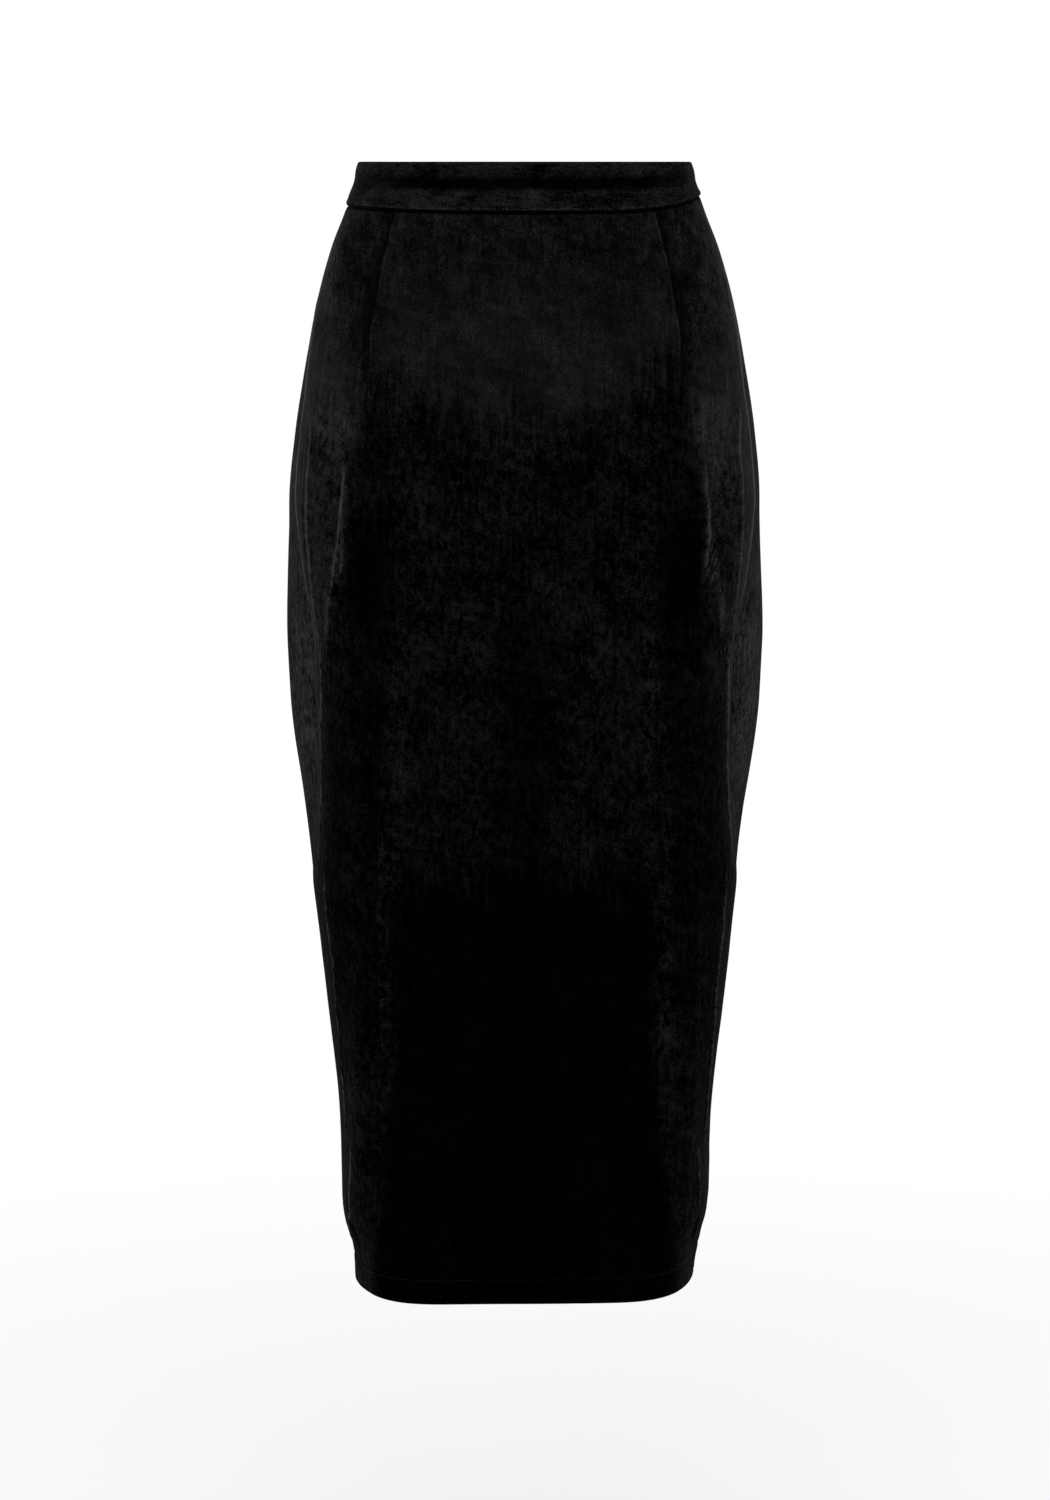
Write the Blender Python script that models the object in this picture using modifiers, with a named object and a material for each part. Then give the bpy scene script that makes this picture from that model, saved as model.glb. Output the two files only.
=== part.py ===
"""High-waisted pencil midi skirt in black faux suede, filled out as if worn, hollow, open at waist and hem.

Metres, +Z up. The front faces -Y, and the wearer's left side is at +X. The origin is the middle of the
waist, halfway up the waistband, where the wearer holds the skirt. Heights along the skirt are given as a
drop: the distance straight down from the waistband's top edge.
"""

import math
from collections import namedtuple

import bmesh
import bpy
import numpy as np
from mathutils import Matrix, Vector

# Driving sizes
LENGTH = 0.800  # waistband's top edge to hem
BAND_DEPTH = 0.034  # waistband, at centre front and centre back
CLOTH = 0.0012  # wall of one layer of cloth
BAND_WALL = 0.0024  # two layers with interfacing between them
BAND_PROUD = 0.0006  # the waistband stands this far out over the panels
HEM_DEPTH = 0.018  # hem allowance, turned up inside, so the wall is doubled
SEAM_GAP = 0.0003  # between two pieces that are sewn together
WAIST_GAP = 0.0006  # the waist seam's gap, measured straight down
ZIP_GAP = 0.0016  # between the two centre-back edges along the zip
ZIP_LENGTH = 0.205  # from the waistband's top edge
SLIT_LENGTH = 0.190  # walking slit in the centre-back seam, from the hem up
SLIT_OPEN = 0.012  # how far the slit's edges stand apart at the hem
SLIT_CURVE = 1.5  # how late the slit opens, from its top down
SEAM_LIFT_LEFT = 0.011  # the waist seam rises this much towards the wearer's left side seam
SEAM_LIFT_RIGHT = 0.0037  # and this much towards the right one
SEAM_LIFT_POWER = {1: 5.0, -1: 3.0}  # how late it rises, on the left (+X) and on the right (-X)
SEAM_LIFT_FADE = 0.09  # rows below the waist seam level out over this drop
DART_LIP = 0.0032  # half the width of cloth that a pressed dart shapes
DART_RIDGE = 0.0012  # height of the pressed side of a dart
DART_GROOVE = 0.0014  # depth of a dart's stitched line
DART_FADE = 0.5  # how slowly both die away towards the tip
TOP_Z = BAND_DEPTH / 2

# Level sections through the skirt. `half_width` is the silhouette from the front, and `front` and `back` are
# the distances from the upright axis to centre front and centre back. The last three are exponents: a higher
# `front_flat` makes a flatter front, a lower `front_round` a rounder side, and `back_power` a boxier back.
Section = namedtuple("Section", "drop half_width front back front_flat front_round back_power")
SECTIONS = (
    Section(0.000, 0.1159, 0.0860, 0.0860, 2.30, 2.30, 2.20),
    Section(0.017, 0.1208, 0.0875, 0.0885, 2.30, 2.30, 2.20),
    Section(0.036, 0.1272, 0.0895, 0.0925, 2.32, 2.32, 2.20),
    Section(0.060, 0.1366, 0.0955, 0.1000, 2.40, 2.40, 2.25),
    Section(0.096, 0.1469, 0.1045, 0.1110, 2.55, 2.50, 2.30),
    Section(0.140, 0.1557, 0.1125, 0.1205, 2.75, 2.55, 2.35),
    Section(0.190, 0.1638, 0.1160, 0.1262, 3.00, 2.60, 2.40),
    Section(0.240, 0.1684, 0.1150, 0.1262, 3.30, 2.65, 2.45),
    Section(0.310, 0.1686, 0.1120, 0.1215, 3.80, 2.70, 2.50),
    Section(0.380, 0.1662, 0.1095, 0.1165, 4.30, 2.70, 2.55),
    Section(0.440, 0.1602, 0.1070, 0.1125, 4.70, 2.60, 2.60),
    Section(0.505, 0.1522, 0.1045, 0.1090, 5.20, 2.40, 2.70),
    Section(0.600, 0.1427, 0.1000, 0.1040, 5.80, 2.25, 2.85),
    Section(0.680, 0.1354, 0.0965, 0.1000, 6.00, 2.10, 3.00),
    Section(0.755, 0.1334, 0.0935, 0.0970, 6.00, 2.00, 3.05),
    Section(0.776, 0.1289, 0.0925, 0.0962, 5.80, 1.95, 3.00),
    Section(0.800, 0.1240, 0.0915, 0.0955, 5.60, 1.95, 2.95),
)

# The side seam runs in front of the widest line of the skirt. `inset` is how far inside that line it lies,
# which is large on the thigh, where the back panel's fullness swells past the seam, and once more over the
# hem. `seam_y` and `wide_y` place the seam and the widest line from front (-) to back (+).
SideSeam = namedtuple("SideSeam", "drop inset seam_y wide_y")
SIDE_SEAM = (
    SideSeam(0.000, 0.0006, -0.004, 0.016),
    SideSeam(0.100, 0.0008, -0.006, 0.018),
    SideSeam(0.165, 0.0034, -0.010, 0.020),
    SideSeam(0.230, 0.0043, -0.014, 0.022),
    SideSeam(0.280, 0.0097, -0.020, 0.024),
    SideSeam(0.338, 0.0205, -0.028, 0.026),
    SideSeam(0.390, 0.0195, -0.030, 0.026),
    SideSeam(0.441, 0.0137, -0.027, 0.024),
    SideSeam(0.477, 0.0062, -0.022, 0.022),
    SideSeam(0.510, 0.0010, -0.016, 0.018),
    SideSeam(0.740, 0.0010, -0.010, 0.014),
    SideSeam(0.774, 0.0048, -0.014, 0.014),
    SideSeam(0.800, 0.0006, -0.006, 0.014),
)

# Waist darts, the same on both sides of the front and of the back.
Dart = namedtuple("Dart", "top_x tip_x length")
DARTS = {"front": Dart(0.0915, 0.1095, 0.110), "back": Dart(0.0620, 0.0600, 0.130)}

# Soft vertical folds, alike on both sides. `top` and `bottom` are drops, and the places across the panel
# go from 0 at its centre to 1 at the side seam. A negative height is a trough.
Fold = namedtuple("Fold", "top bottom top_place bottom_place width height")
FOLDS = {
    "front": (
        Fold(0.160, 0.350, 0.905, 0.930, 0.008, 0.0022),
        Fold(0.200, 0.335, 0.740, 0.860, 0.008, 0.0018),
        Fold(0.190, 0.350, 0.830, 0.900, 0.008, -0.0016),
        Fold(0.310, 0.480, 0.500, 0.480, 0.009, 0.0012),
        Fold(0.420, 0.760, 0.520, 0.640, 0.010, 0.0016),
    ),
    "back": (
        Fold(0.230, 0.480, 0.800, 0.760, 0.012, 0.0026),
        Fold(0.290, 0.520, 0.660, 0.640, 0.011, -0.0022),
        Fold(0.420, 0.740, 0.480, 0.420, 0.012, 0.0020),
        Fold(0.060, 0.150, 0.300, 0.560, 0.012, -0.0012),
    ),
}

# Soft rolls round the waistband: `drop` is where each lies.
Roll = namedtuple("Roll", "drop width height")
BAND_ROLLS = (Roll(0.006, 0.004, 0.0005), Roll(0.017, 0.005, -0.0009))

# Rows and columns of the cloth
TOP_ROW = 0.050  # the panels' second row, as a drop at the centre; the first is at the waist seam
LAST_ROW = 0.764  # the row above the hem's own
ZIP_ROWS = 6  # from the second row to the zip's end
LOWER_ROWS = 19  # from there to the last row
CENTRE_COLUMNS = 4  # between the centre and the dart
SIDE_COLUMNS = 9  # between the dart and the side seam
BAND_ROWS = (0.0, 0.16, 0.32, 0.50, 0.70, 0.86, 1.0)  # shares of its depth
OUTLINE_STEPS = 160  # points along each half of a section's outline, before columns are read from it
SWELL_STEPS = 40  # points from the widest line to a side seam that lies inside it
SHARP_ANGLE = math.radians(40)

# Concealed zip
TAPE_WIDTH = 0.012
TAPE_WALL = 0.0010
TAPE_SPACE = 0.0005  # behind the cloth, measured level
TAPE_END = 0.0015  # the tapes stop this far under the waistband's top edge
TAPE_COLUMNS = 4
SLIDER_DROP = 0.0075  # the pull's pivot, from the waistband's top edge
SLIDER_BODY = (0.0056, 0.0024, 0.0095)  # across, thick, tall
BODY_CLEAR = 0.0014  # space between the slider's body and the tapes
NECK = (0.0009, 0.0060)  # across and tall: the slider's neck stands between the two edges
EYE_REACH = 0.0023  # the pivot's distance outside the waistband
EYE_RADIUS = 0.0020
EYE_HOLE = 0.0011
EYE_OVERLAP = 0.0004  # how far the neck runs into the eye's ring
PIN_RADIUS = 0.0007
PULL_LENGTH = 0.0230  # pivot to tip
PULL_NECK = 0.0046  # width at the pivot
PULL_WIDTH = 0.0068  # at its widest, near the tip
PULL_WALL = 0.0012
PULL_CORNER = 0.0005  # cut off the two top corners
PULL_SLOT = (0.0018, 0.0036)  # width, and depth below the pivot
ROUND_STEPS = 20

# Colours are linear red, green and blue. A finish is (colour, roughness, metallic).
SUEDE = ((0.006, 0.006, 0.006), 0.92, 0.0)
TAPE = ((0.008, 0.008, 0.009), 0.85, 0.0)
METAL = ((0.015, 0.015, 0.016), 0.38, 0.9)


def clear_scene():
    for old in list(bpy.data.objects):
        bpy.data.objects.remove(old, do_unlink=True)


def collection(name):
    made = bpy.data.collections.new(name)
    bpy.context.scene.collection.children.link(made)
    return made


def finish_with(obj, finish):
    """Give the object its own Principled material."""
    colour, roughness, metallic = finish
    material = bpy.data.materials.new(obj.name + "_finish")
    material.use_nodes = True
    shader = material.node_tree.nodes["Principled BSDF"]
    shader.inputs["Base Color"].default_value = (*colour, 1.0)
    shader.inputs["Roughness"].default_value = roughness
    shader.inputs["Metallic"].default_value = metallic
    material.diffuse_color = (*colour, 1.0)
    obj.data.materials.append(material)


def read(table, name, drop):
    """A table's column at any drop, as a smooth curve that never overshoots its rows."""
    x = np.array([row.drop for row in table])
    y = np.array([getattr(row, name) for row in table])
    rise = np.diff(y) / np.diff(x)
    slope = np.zeros_like(y)
    slope[0], slope[-1] = rise[0], rise[-1]
    same_way = rise[:-1] * rise[1:] > 0
    slope[1:-1][same_way] = 2 * (rise[:-1] * rise[1:])[same_way] / (rise[:-1] + rise[1:])[same_way]
    i = int(np.clip(np.searchsorted(x, drop) - 1, 0, len(x) - 2))
    step = x[i + 1] - x[i]
    t = min(max((drop - x[i]) / step, 0.0), 1.0)
    start = (1 + 2 * t) * (1 - t) ** 2 * y[i] + t * (1 - t) ** 2 * step * slope[i]
    end = t * t * (3 - 2 * t) * y[i + 1] - t * t * (1 - t) * step * slope[i + 1]
    return start + end


def quarter(flat, rounding):
    """A quarter of an oval of size 1, from its flat end to its side, with an exponent for each direction."""
    turn = math.pi / 2 * np.linspace(0, 1, OUTLINE_STEPS) ** (flat / 2)
    return np.sin(turn) ** (2 / flat), np.clip(np.cos(turn), 0, 1) ** (2 / rounding)


def outline(which, drop):
    """Half of a section on the +X side, from centre front or centre back round to the side seam."""
    half_width = read(SECTIONS, "half_width", drop)
    inset = read(SIDE_SEAM, "inset", drop)
    seam_y = read(SIDE_SEAM, "seam_y", drop)
    wide_y = read(SIDE_SEAM, "wide_y", drop)
    seam_x = half_width - inset
    reach = read(SECTIONS, which, drop)
    if which == "front":
        across, along = quarter(read(SECTIONS, "front_flat", drop), read(SECTIONS, "front_round", drop))
        return np.stack([seam_x * across, seam_y - (reach + seam_y) * along], axis=1)
    power = read(SECTIONS, "back_power", drop)
    across, along = quarter(power, power)
    back = np.stack([half_width * across, wide_y + (reach - wide_y) * along], axis=1)
    share = np.linspace(0, 1, SWELL_STEPS)[1:]
    swell_x = seam_x + inset * np.cos(share * math.pi / 2)
    swell_y = wide_y - (wide_y - seam_y) * share
    return np.concatenate([back, np.stack([swell_x, swell_y], axis=1)])


def lengths_along(points):
    steps = np.linalg.norm(np.diff(points, axis=0), axis=1)
    return np.concatenate([[0.0], np.cumsum(steps)])


def dart_x(which, drop):
    """How far the dart's line is from the centre; under its tip the line runs on at the same share."""
    dart = DARTS[which]
    tip_drop = BAND_DEPTH + dart.length
    if drop <= tip_drop:
        return dart.top_x + (dart.tip_x - dart.top_x) * (drop - BAND_DEPTH) / dart.length
    return dart.tip_x * read(SECTIONS, "half_width", drop) / read(SECTIONS, "half_width", tip_drop)


def centre_edge(which, drop):
    """Half the space between the two centre-back edges; the front panel has no centre edge."""
    if which == "front":
        return 0.0
    if drop <= ZIP_LENGTH:
        return ZIP_GAP / 2
    slit = max(0.0, (drop - (LENGTH - SLIT_LENGTH)) / SLIT_LENGTH)
    return SEAM_GAP / 2 + (SLIT_OPEN - SEAM_GAP) / 2 * slit**SLIT_CURVE


def dart_share(which, drop):
    """1 at the waist seam and 0 from the dart's tip down."""
    return 1 - min(1.0, max(0.0, (drop - BAND_DEPTH) / DARTS[which].length))


def stations(which, drop):
    """Distances round the section, from the centre: the columns of half a panel, with its length."""
    line = outline(which, drop)
    far = lengths_along(line)
    dart = np.interp(dart_x(which, drop), line[:OUTLINE_STEPS, 0], far[:OUTLINE_STEPS])
    inner = np.linspace(centre_edge(which, drop), dart - DART_LIP, CENTRE_COLUMNS + 1)
    outer = np.linspace(dart + DART_LIP, far[-1] - SEAM_GAP / 2, SIDE_COLUMNS + 1)
    return np.concatenate([inner, [dart], outer]), far[-1]


def fold_relief(which, drop, place, whole):
    """How far the folds lift the cloth at a place across the panel."""
    total = 0.0
    for fold in FOLDS[which]:
        down = (drop - fold.top) / (fold.bottom - fold.top)
        if 0 < down < 1:
            middle = fold.top_place + (fold.bottom_place - fold.top_place) * down
            across = (place - middle) * whole / fold.width
            total += fold.height * math.sin(math.pi * down) * math.exp(-across * across)
    return total


def dart_relief(which, column, drop):
    """The pressed ridge on the centre side of a dart, and the groove of its stitched line."""
    share = dart_share(which, drop) ** DART_FADE
    if column == CENTRE_COLUMNS:
        return DART_RIDGE * share
    if column == CENTRE_COLUMNS + 1:
        return -DART_GROOVE * share
    return 0.0


def on_section(which, side, drop, distance, lift):
    """The point that far round the section from the centre, moved out of it by `lift`."""
    line = outline(which, drop)
    far = lengths_along(line)
    tangent = np.gradient(line, far, axis=0)
    x = np.interp(distance, far, line[:, 0])
    y = np.interp(distance, far, line[:, 1])
    along = np.array([np.interp(distance, far, tangent[:, 0]), np.interp(distance, far, tangent[:, 1])])
    along /= np.linalg.norm(along)
    out = np.array([-along[1], along[0]]) if which == "back" else np.array([along[1], -along[0]])
    return side * (x + lift * out[0]), y + lift * out[1]


def seam_drop(side, x):
    """The waist seam's drop: it rises a little towards the side seams."""
    lift = SEAM_LIFT_LEFT if side > 0 else SEAM_LIFT_RIGHT
    share = min(1.0, abs(x) / read(SECTIONS, "half_width", BAND_DEPTH))
    return BAND_DEPTH - lift * share ** SEAM_LIFT_POWER[side]


def panel_half(which, side):
    """Rows of points of half a panel, from the centre to the side seam."""
    rows = []
    zip_rows = np.linspace(TOP_ROW, ZIP_LENGTH, ZIP_ROWS)
    lower_rows = np.linspace(ZIP_LENGTH, LAST_ROW, LOWER_ROWS)[1:]
    hem_rows = (LENGTH - HEM_DEPTH - CLOTH, LENGTH - HEM_DEPTH, LENGTH)
    for level in (BAND_DEPTH + WAIST_GAP, *zip_rows, *lower_rows, *hem_rows):
        distances, whole = stations(which, level)
        row = []
        for column, distance in enumerate(distances):
            lift = fold_relief(which, level, distance / whole, whole) + dart_relief(which, column, level)
            x, _ = on_section(which, side, level, distance, 0.0)
            fade = max(0.0, 1 - (level - BAND_DEPTH) / SEAM_LIFT_FADE)
            drop = level + (seam_drop(side, x) - BAND_DEPTH) * fade * fade
            x, y = on_section(which, side, drop, distance, lift)
            row.append((x, y, TOP_Z - drop))
        rows.append(row)
    return rows


def band_half(which, side):
    """Rows of points of half a waistband piece, down to the waist seam."""
    columns, whole = stations(which, BAND_DEPTH)
    rows = []
    for level in BAND_ROWS:
        row = []
        for distance in columns:
            x, _ = on_section(which, side, BAND_DEPTH, distance, 0.0)
            drop = level * seam_drop(side, x)
            length = lengths_along(outline(which, drop))[-1]
            rolls = sum(r.height * math.exp(-(((drop - r.drop) / r.width) ** 2)) for r in BAND_ROLLS)
            if distance == columns[0]:
                here = distance
            else:
                here = distance * (length - SEAM_GAP / 2) / (whole - SEAM_GAP / 2)
            x, y = on_section(which, side, drop, here, BAND_PROUD + rolls)
            row.append((x, y, TOP_Z - drop))
        rows.append(row)
    return rows


def mirrored(half, other_half):
    """Join two halves that meet on the centre line: the -X half reversed, then the +X half."""
    return [left[::-1] + right[1:] for left, right in zip(other_half, half)]


def cloth_object(name, rows, wall, finish, doubled_rows=0):
    """A sheet through rows of points, given its wall inwards. Its last rows may be doubled, as a hem is."""
    width = len(rows[0])
    points = [point for row in rows for point in row]
    faces = []
    for r in range(len(rows) - 1):
        for c in range(width - 1):
            corner = r * width + c
            faces.append((corner, corner + 1, corner + width + 1, corner + width))
    mesh = bpy.data.meshes.new(name)
    mesh.from_pydata(points, [], faces)
    turn_outwards(mesh)
    obj = add_object(name, mesh, finish)
    group = obj.vertex_groups.new(name="wall")
    single = len(points) - doubled_rows * width
    group.add(list(range(single)), 0.5 if doubled_rows else 1.0, "REPLACE")
    group.add(list(range(single, len(points))), 1.0, "REPLACE")
    solidify = obj.modifiers.new("wall", "SOLIDIFY")
    solidify.thickness = wall * 2 if doubled_rows else wall
    solidify.offset = -1
    solidify.vertex_group = group.name
    return obj


def faces_in(face):
    middle = face.calc_center_median()
    return face.normal.x * middle.x + face.normal.y * middle.y < 0


def turn_outwards(mesh):
    """Face the sheet away from the skirt's upright axis."""
    shape = bmesh.new()
    shape.from_mesh(mesh)
    if 2 * sum(faces_in(face) for face in shape.faces) > len(shape.faces):
        bmesh.ops.reverse_faces(shape, faces=shape.faces)
    shape.to_mesh(mesh)
    shape.free()


def add_object(name, mesh, finish, parent=None):
    obj = bpy.data.objects.new(name, mesh)
    PARTS.objects.link(obj)
    if mesh.polygons:
        mesh.shade_smooth()
        mesh.set_sharp_from_angle(angle=SHARP_ANGLE)
        finish_with(obj, finish)
    obj.parent = parent
    return obj


def side_name(side):
    return "left" if side > 0 else "right"


def make_panels():
    front = mirrored(panel_half("front", 1), panel_half("front", -1))
    cloth_object("front_panel", front, CLOTH, SUEDE, doubled_rows=2)
    for side in (1, -1):
        rows = panel_half("back", side)
        cloth_object("back_panel_" + side_name(side), rows, CLOTH, SUEDE, doubled_rows=2)


def make_waistband():
    front = mirrored(band_half("front", 1), band_half("front", -1))
    cloth_object("waistband_front", front, BAND_WALL, SUEDE)
    for side in (1, -1):
        cloth_object("waistband_back_" + side_name(side), band_half("back", side), BAND_WALL, SUEDE)


def make_zip_tapes():
    """Two tapes behind the centre-back edges, made from the points of the waistband and the panels."""
    for side in (1, -1):
        band = [(row, BAND_WALL + TAPE_SPACE) for row in band_half("back", side)]
        panel = [(row, CLOTH + TAPE_SPACE) for row in panel_half("back", side)[1:]]
        rows = []
        for row, depth in band + panel:
            if TOP_Z - row[0][2] > ZIP_LENGTH + SEAM_GAP:
                break
            edge, inner = (np.array(point) for point in row[:2])
            step = (inner - edge) / np.linalg.norm(inner - edge)
            across = (edge + step * TAPE_WIDTH * share for share in np.linspace(0, 1, TAPE_COLUMNS))
            rows.append([(x, y - depth, z) for x, y, z in across])
        rows[0] = [(x, y, z - TAPE_END) for x, y, z in rows[0]]
        cloth_object("zip_tape_" + side_name(side), rows, TAPE_WALL, TAPE)


def box(name, size, centre):
    shape = bmesh.new()
    bmesh.ops.create_cube(shape, size=1)
    bmesh.ops.scale(shape, vec=Vector(size), verts=shape.verts)
    bmesh.ops.translate(shape, vec=Vector(centre), verts=shape.verts)
    mesh = bpy.data.meshes.new(name)
    shape.to_mesh(mesh)
    shape.free()
    return mesh


def rod(name, radius, length, centre):
    """A cylinder along X."""
    shape = bmesh.new()
    along_x = Matrix.Translation(centre) @ Matrix.Rotation(math.pi / 2, 4, "Y")
    ends = {"segments": ROUND_STEPS, "radius1": radius, "radius2": radius, "depth": length}
    bmesh.ops.create_cone(shape, cap_ends=True, matrix=along_x, **ends)
    mesh = bpy.data.meshes.new(name)
    shape.to_mesh(mesh)
    shape.free()
    return mesh


def tool(name, mesh, parent):
    """A helper shape that other shapes are joined with or cut by."""
    obj = bpy.data.objects.new(name, mesh)
    CUTTERS.objects.link(obj)
    obj.parent = parent
    obj.hide_render = True
    obj.display_type = "WIRE"
    return obj


def combine(obj, operation, other):
    step = obj.modifiers.new(operation.lower(), "BOOLEAN")
    step.operation = operation
    step.object = other


def make_zip_ends():
    """The slider at the top of the closed zip, and its pull tab, which hangs from the slider's eye.

    Both are made in the frame of an empty on the pivot, whose +Y points straight out of the waistband's
    back and whose +Z runs up along it.
    """
    drop = SLIDER_DROP
    x, surface = on_section("back", 1, drop, 0.0, BAND_PROUD)
    below = on_section("back", 1, drop + PULL_LENGTH, 0.0, BAND_PROUD)[1]
    lean = math.atan2(below - surface, PULL_LENGTH)
    pivot = bpy.data.objects.new("zip_pivot", None)
    PARTS.objects.link(pivot)
    pivot.location = (0.0, surface + EYE_REACH, TOP_Z - drop)
    pivot.rotation_euler = (lean, 0.0, 0.0)

    tape_inner = BAND_WALL + TAPE_SPACE + TAPE_WALL
    body_y = -EYE_REACH - tape_inner - BODY_CLEAR - SLIDER_BODY[1] / 2
    slider = add_object("zip_slider", box("zip_slider", SLIDER_BODY, (0, body_y, 0)), METAL, pivot)
    neck_end = -EYE_HOLE - EYE_OVERLAP
    neck = box("neck", (NECK[0], neck_end - body_y, NECK[1]), (0, (body_y + neck_end) / 2, 0))
    eye = rod("eye", EYE_RADIUS, NECK[0], (0, 0, 0))
    hole = rod("hole", EYE_HOLE, 3 * NECK[0], (0, 0, 0))
    combine(slider, "UNION", tool("zip_slider_neck", neck, pivot))
    combine(slider, "UNION", tool("zip_slider_eye", eye, pivot))
    combine(slider, "DIFFERENCE", tool("zip_slider_hole", hole, pivot))

    pull = add_object("zip_pull", pull_plate(), METAL, pivot)
    slot_width, slot_depth = PULL_SLOT
    slot_height = slot_depth + PULL_WIDTH  # runs out past the plate's top
    slot_size = (slot_width, 4 * PULL_WALL, slot_height)
    slot = box("slot", slot_size, (0, 0, slot_height / 2 - slot_depth))
    combine(pull, "DIFFERENCE", tool("zip_pull_slot", slot, pivot))
    pin = rod("pin", PIN_RADIUS, PULL_NECK - PIN_RADIUS, (0, 0, 0))
    combine(pull, "UNION", tool("zip_pull_pin", pin, pivot))


def pull_plate():
    """A teardrop plate in the XZ plane: narrow at the pivot, round at the tip."""
    tip = PULL_WIDTH / 2
    neck = PULL_NECK / 2
    bottom = -(PULL_LENGTH - tip)
    turns = [math.pi * i / ROUND_STEPS for i in range(ROUND_STEPS + 1)]
    outline_points = [(-tip * math.cos(t), bottom - tip * math.sin(t)) for t in turns]
    corner = (neck - PULL_CORNER, PIN_RADIUS + PULL_CORNER)
    right_side = [(neck, -PULL_SLOT[1] / 2), (neck, PIN_RADIUS), corner]
    outline_points += right_side + [(-px, pz) for px, pz in reversed(right_side)]
    shape = bmesh.new()
    ring = [shape.verts.new((px, -PULL_WALL / 2, pz)) for px, pz in outline_points]
    face = shape.faces.new(ring)
    moved = bmesh.ops.extrude_face_region(shape, geom=[face])
    outer = [item for item in moved["geom"] if isinstance(item, bmesh.types.BMVert)]
    bmesh.ops.translate(shape, vec=(0, PULL_WALL, 0), verts=outer)
    bmesh.ops.recalc_face_normals(shape, faces=shape.faces)
    mesh = bpy.data.meshes.new("zip_pull")
    shape.to_mesh(mesh)
    shape.free()
    return mesh


clear_scene()
PARTS = collection("pencil_skirt")
CUTTERS = collection("cutters")
make_panels()
make_waistband()
make_zip_tapes()
make_zip_ends()
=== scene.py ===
"""A high-waisted pencil midi skirt in black faux suede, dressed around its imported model.

Everything is in metres. The skirt's front faces -Y and the wearer's left side is at +X. Heights along the
skirt are given as a drop: the distance straight down from the waistband's top edge. Places round the skirt
are given as the distance along the cloth from centre front or centre back towards a side seam. The cloth of
each piece is a thin sheet on the same sections as its solid, with its seams, darts, hem, folds and creases
made in the mesh, and the stitches, the zip's coil and the seam allowances are pieces of their own.
"""

import math
from collections import namedtuple

import bmesh
import bpy
import numpy as np
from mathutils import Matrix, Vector


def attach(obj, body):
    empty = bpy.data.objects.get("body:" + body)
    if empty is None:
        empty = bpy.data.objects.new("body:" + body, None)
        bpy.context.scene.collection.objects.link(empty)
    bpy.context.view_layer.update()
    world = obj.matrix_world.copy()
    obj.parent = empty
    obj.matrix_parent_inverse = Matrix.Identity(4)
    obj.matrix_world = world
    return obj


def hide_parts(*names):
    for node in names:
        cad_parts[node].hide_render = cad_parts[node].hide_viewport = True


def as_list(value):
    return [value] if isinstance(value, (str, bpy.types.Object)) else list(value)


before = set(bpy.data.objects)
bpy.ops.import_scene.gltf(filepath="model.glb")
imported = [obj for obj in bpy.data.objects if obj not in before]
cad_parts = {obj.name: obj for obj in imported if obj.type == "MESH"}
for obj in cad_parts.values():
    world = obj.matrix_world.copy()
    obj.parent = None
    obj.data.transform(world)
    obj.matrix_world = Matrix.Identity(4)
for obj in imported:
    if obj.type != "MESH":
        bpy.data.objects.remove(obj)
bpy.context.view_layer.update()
BODY = "skirt"

# Main sizes, the same as the solids'
LENGTH = 0.800  # waistband's top edge to hem
BAND_DEPTH = 0.034
BAND_WALL = 0.0024
BAND_PROUD = 0.0006  # the waistband stands this far out over the panels
HEM_DEPTH = 0.018  # from the hem up to its line of stitches
SEAM_GAP = 0.0003  # between two pieces that are sewn together
ZIP_GAP = 0.0016  # between the two centre-back edges along the zip
ZIP_LENGTH = 0.205
SLIT_LENGTH = 0.190
SLIT_OPEN = 0.012
SLIT_CURVE = 1.5  # how late the slit opens, from its top down
SEAM_LIFT = {1: (0.011, 5.0), -1: (0.0037, 3.0)}  # the waist seam's rise towards each side, and its power
SEAM_LIFT_FADE = 0.09  # rows below the waist seam level out over this drop
TOP_Z = BAND_DEPTH / 2

# Sizes of the cloth alone
CLOTH = 0.0009  # one layer
WAIST_TUCK = 0.0030  # the panels end this far up behind the waistband
FOLD_RADIUS = 0.0011  # outside of the hem's folded edge
EDGE_RADIUS = 0.0010  # outside of a seam's edge
TURN_UP = 0.0205  # height of the turned-up hem, which ends just above its stitches
HEM_SAG = {1: 0.0, -1: 0.0018}  # how much lower the hem hangs towards each side
HEM_SAG_SHARE, HEM_SAG_OVER = 0.6, 0.08  # how far out and down it is all there
HEM_SLACK_TOP = 0.70  # the hem is slack from here down
ALLOWANCE = 0.012  # width of a seam allowance
ALLOWANCE_WALL = 0.0008
FAR_FROM_SEAMS = 0.2
CRISP_WIDTH = 0.0028  # a crease narrower than this is pressed to an edge
ROW_STEP = 0.0052
COLUMN_STEP = 0.0048  # up to the dart
SIDE_COLUMN_STEP = 0.0012  # from the dart to the side seam, where the creases are

# The painted highlight along the front's side seams: drops, distances from the seam, widths and strengths
SEAM_HIGHLIGHT = (
    (0.280, 0.330, 0.430, 0.470, 0.540, 0.600),
    (0.0034, 0.0007, 0.0007, 0.0020, 0.0020, 0.0020),
    (0.0012, 0.0007, 0.0007, 0.0020, 0.0020, 0.0020),
    (1.1, 1.4, 1.5, 1.5, 0.9, 0.28),
)


def rows_of(kind, rows):
    return tuple(kind(*row) for row in rows)


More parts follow.
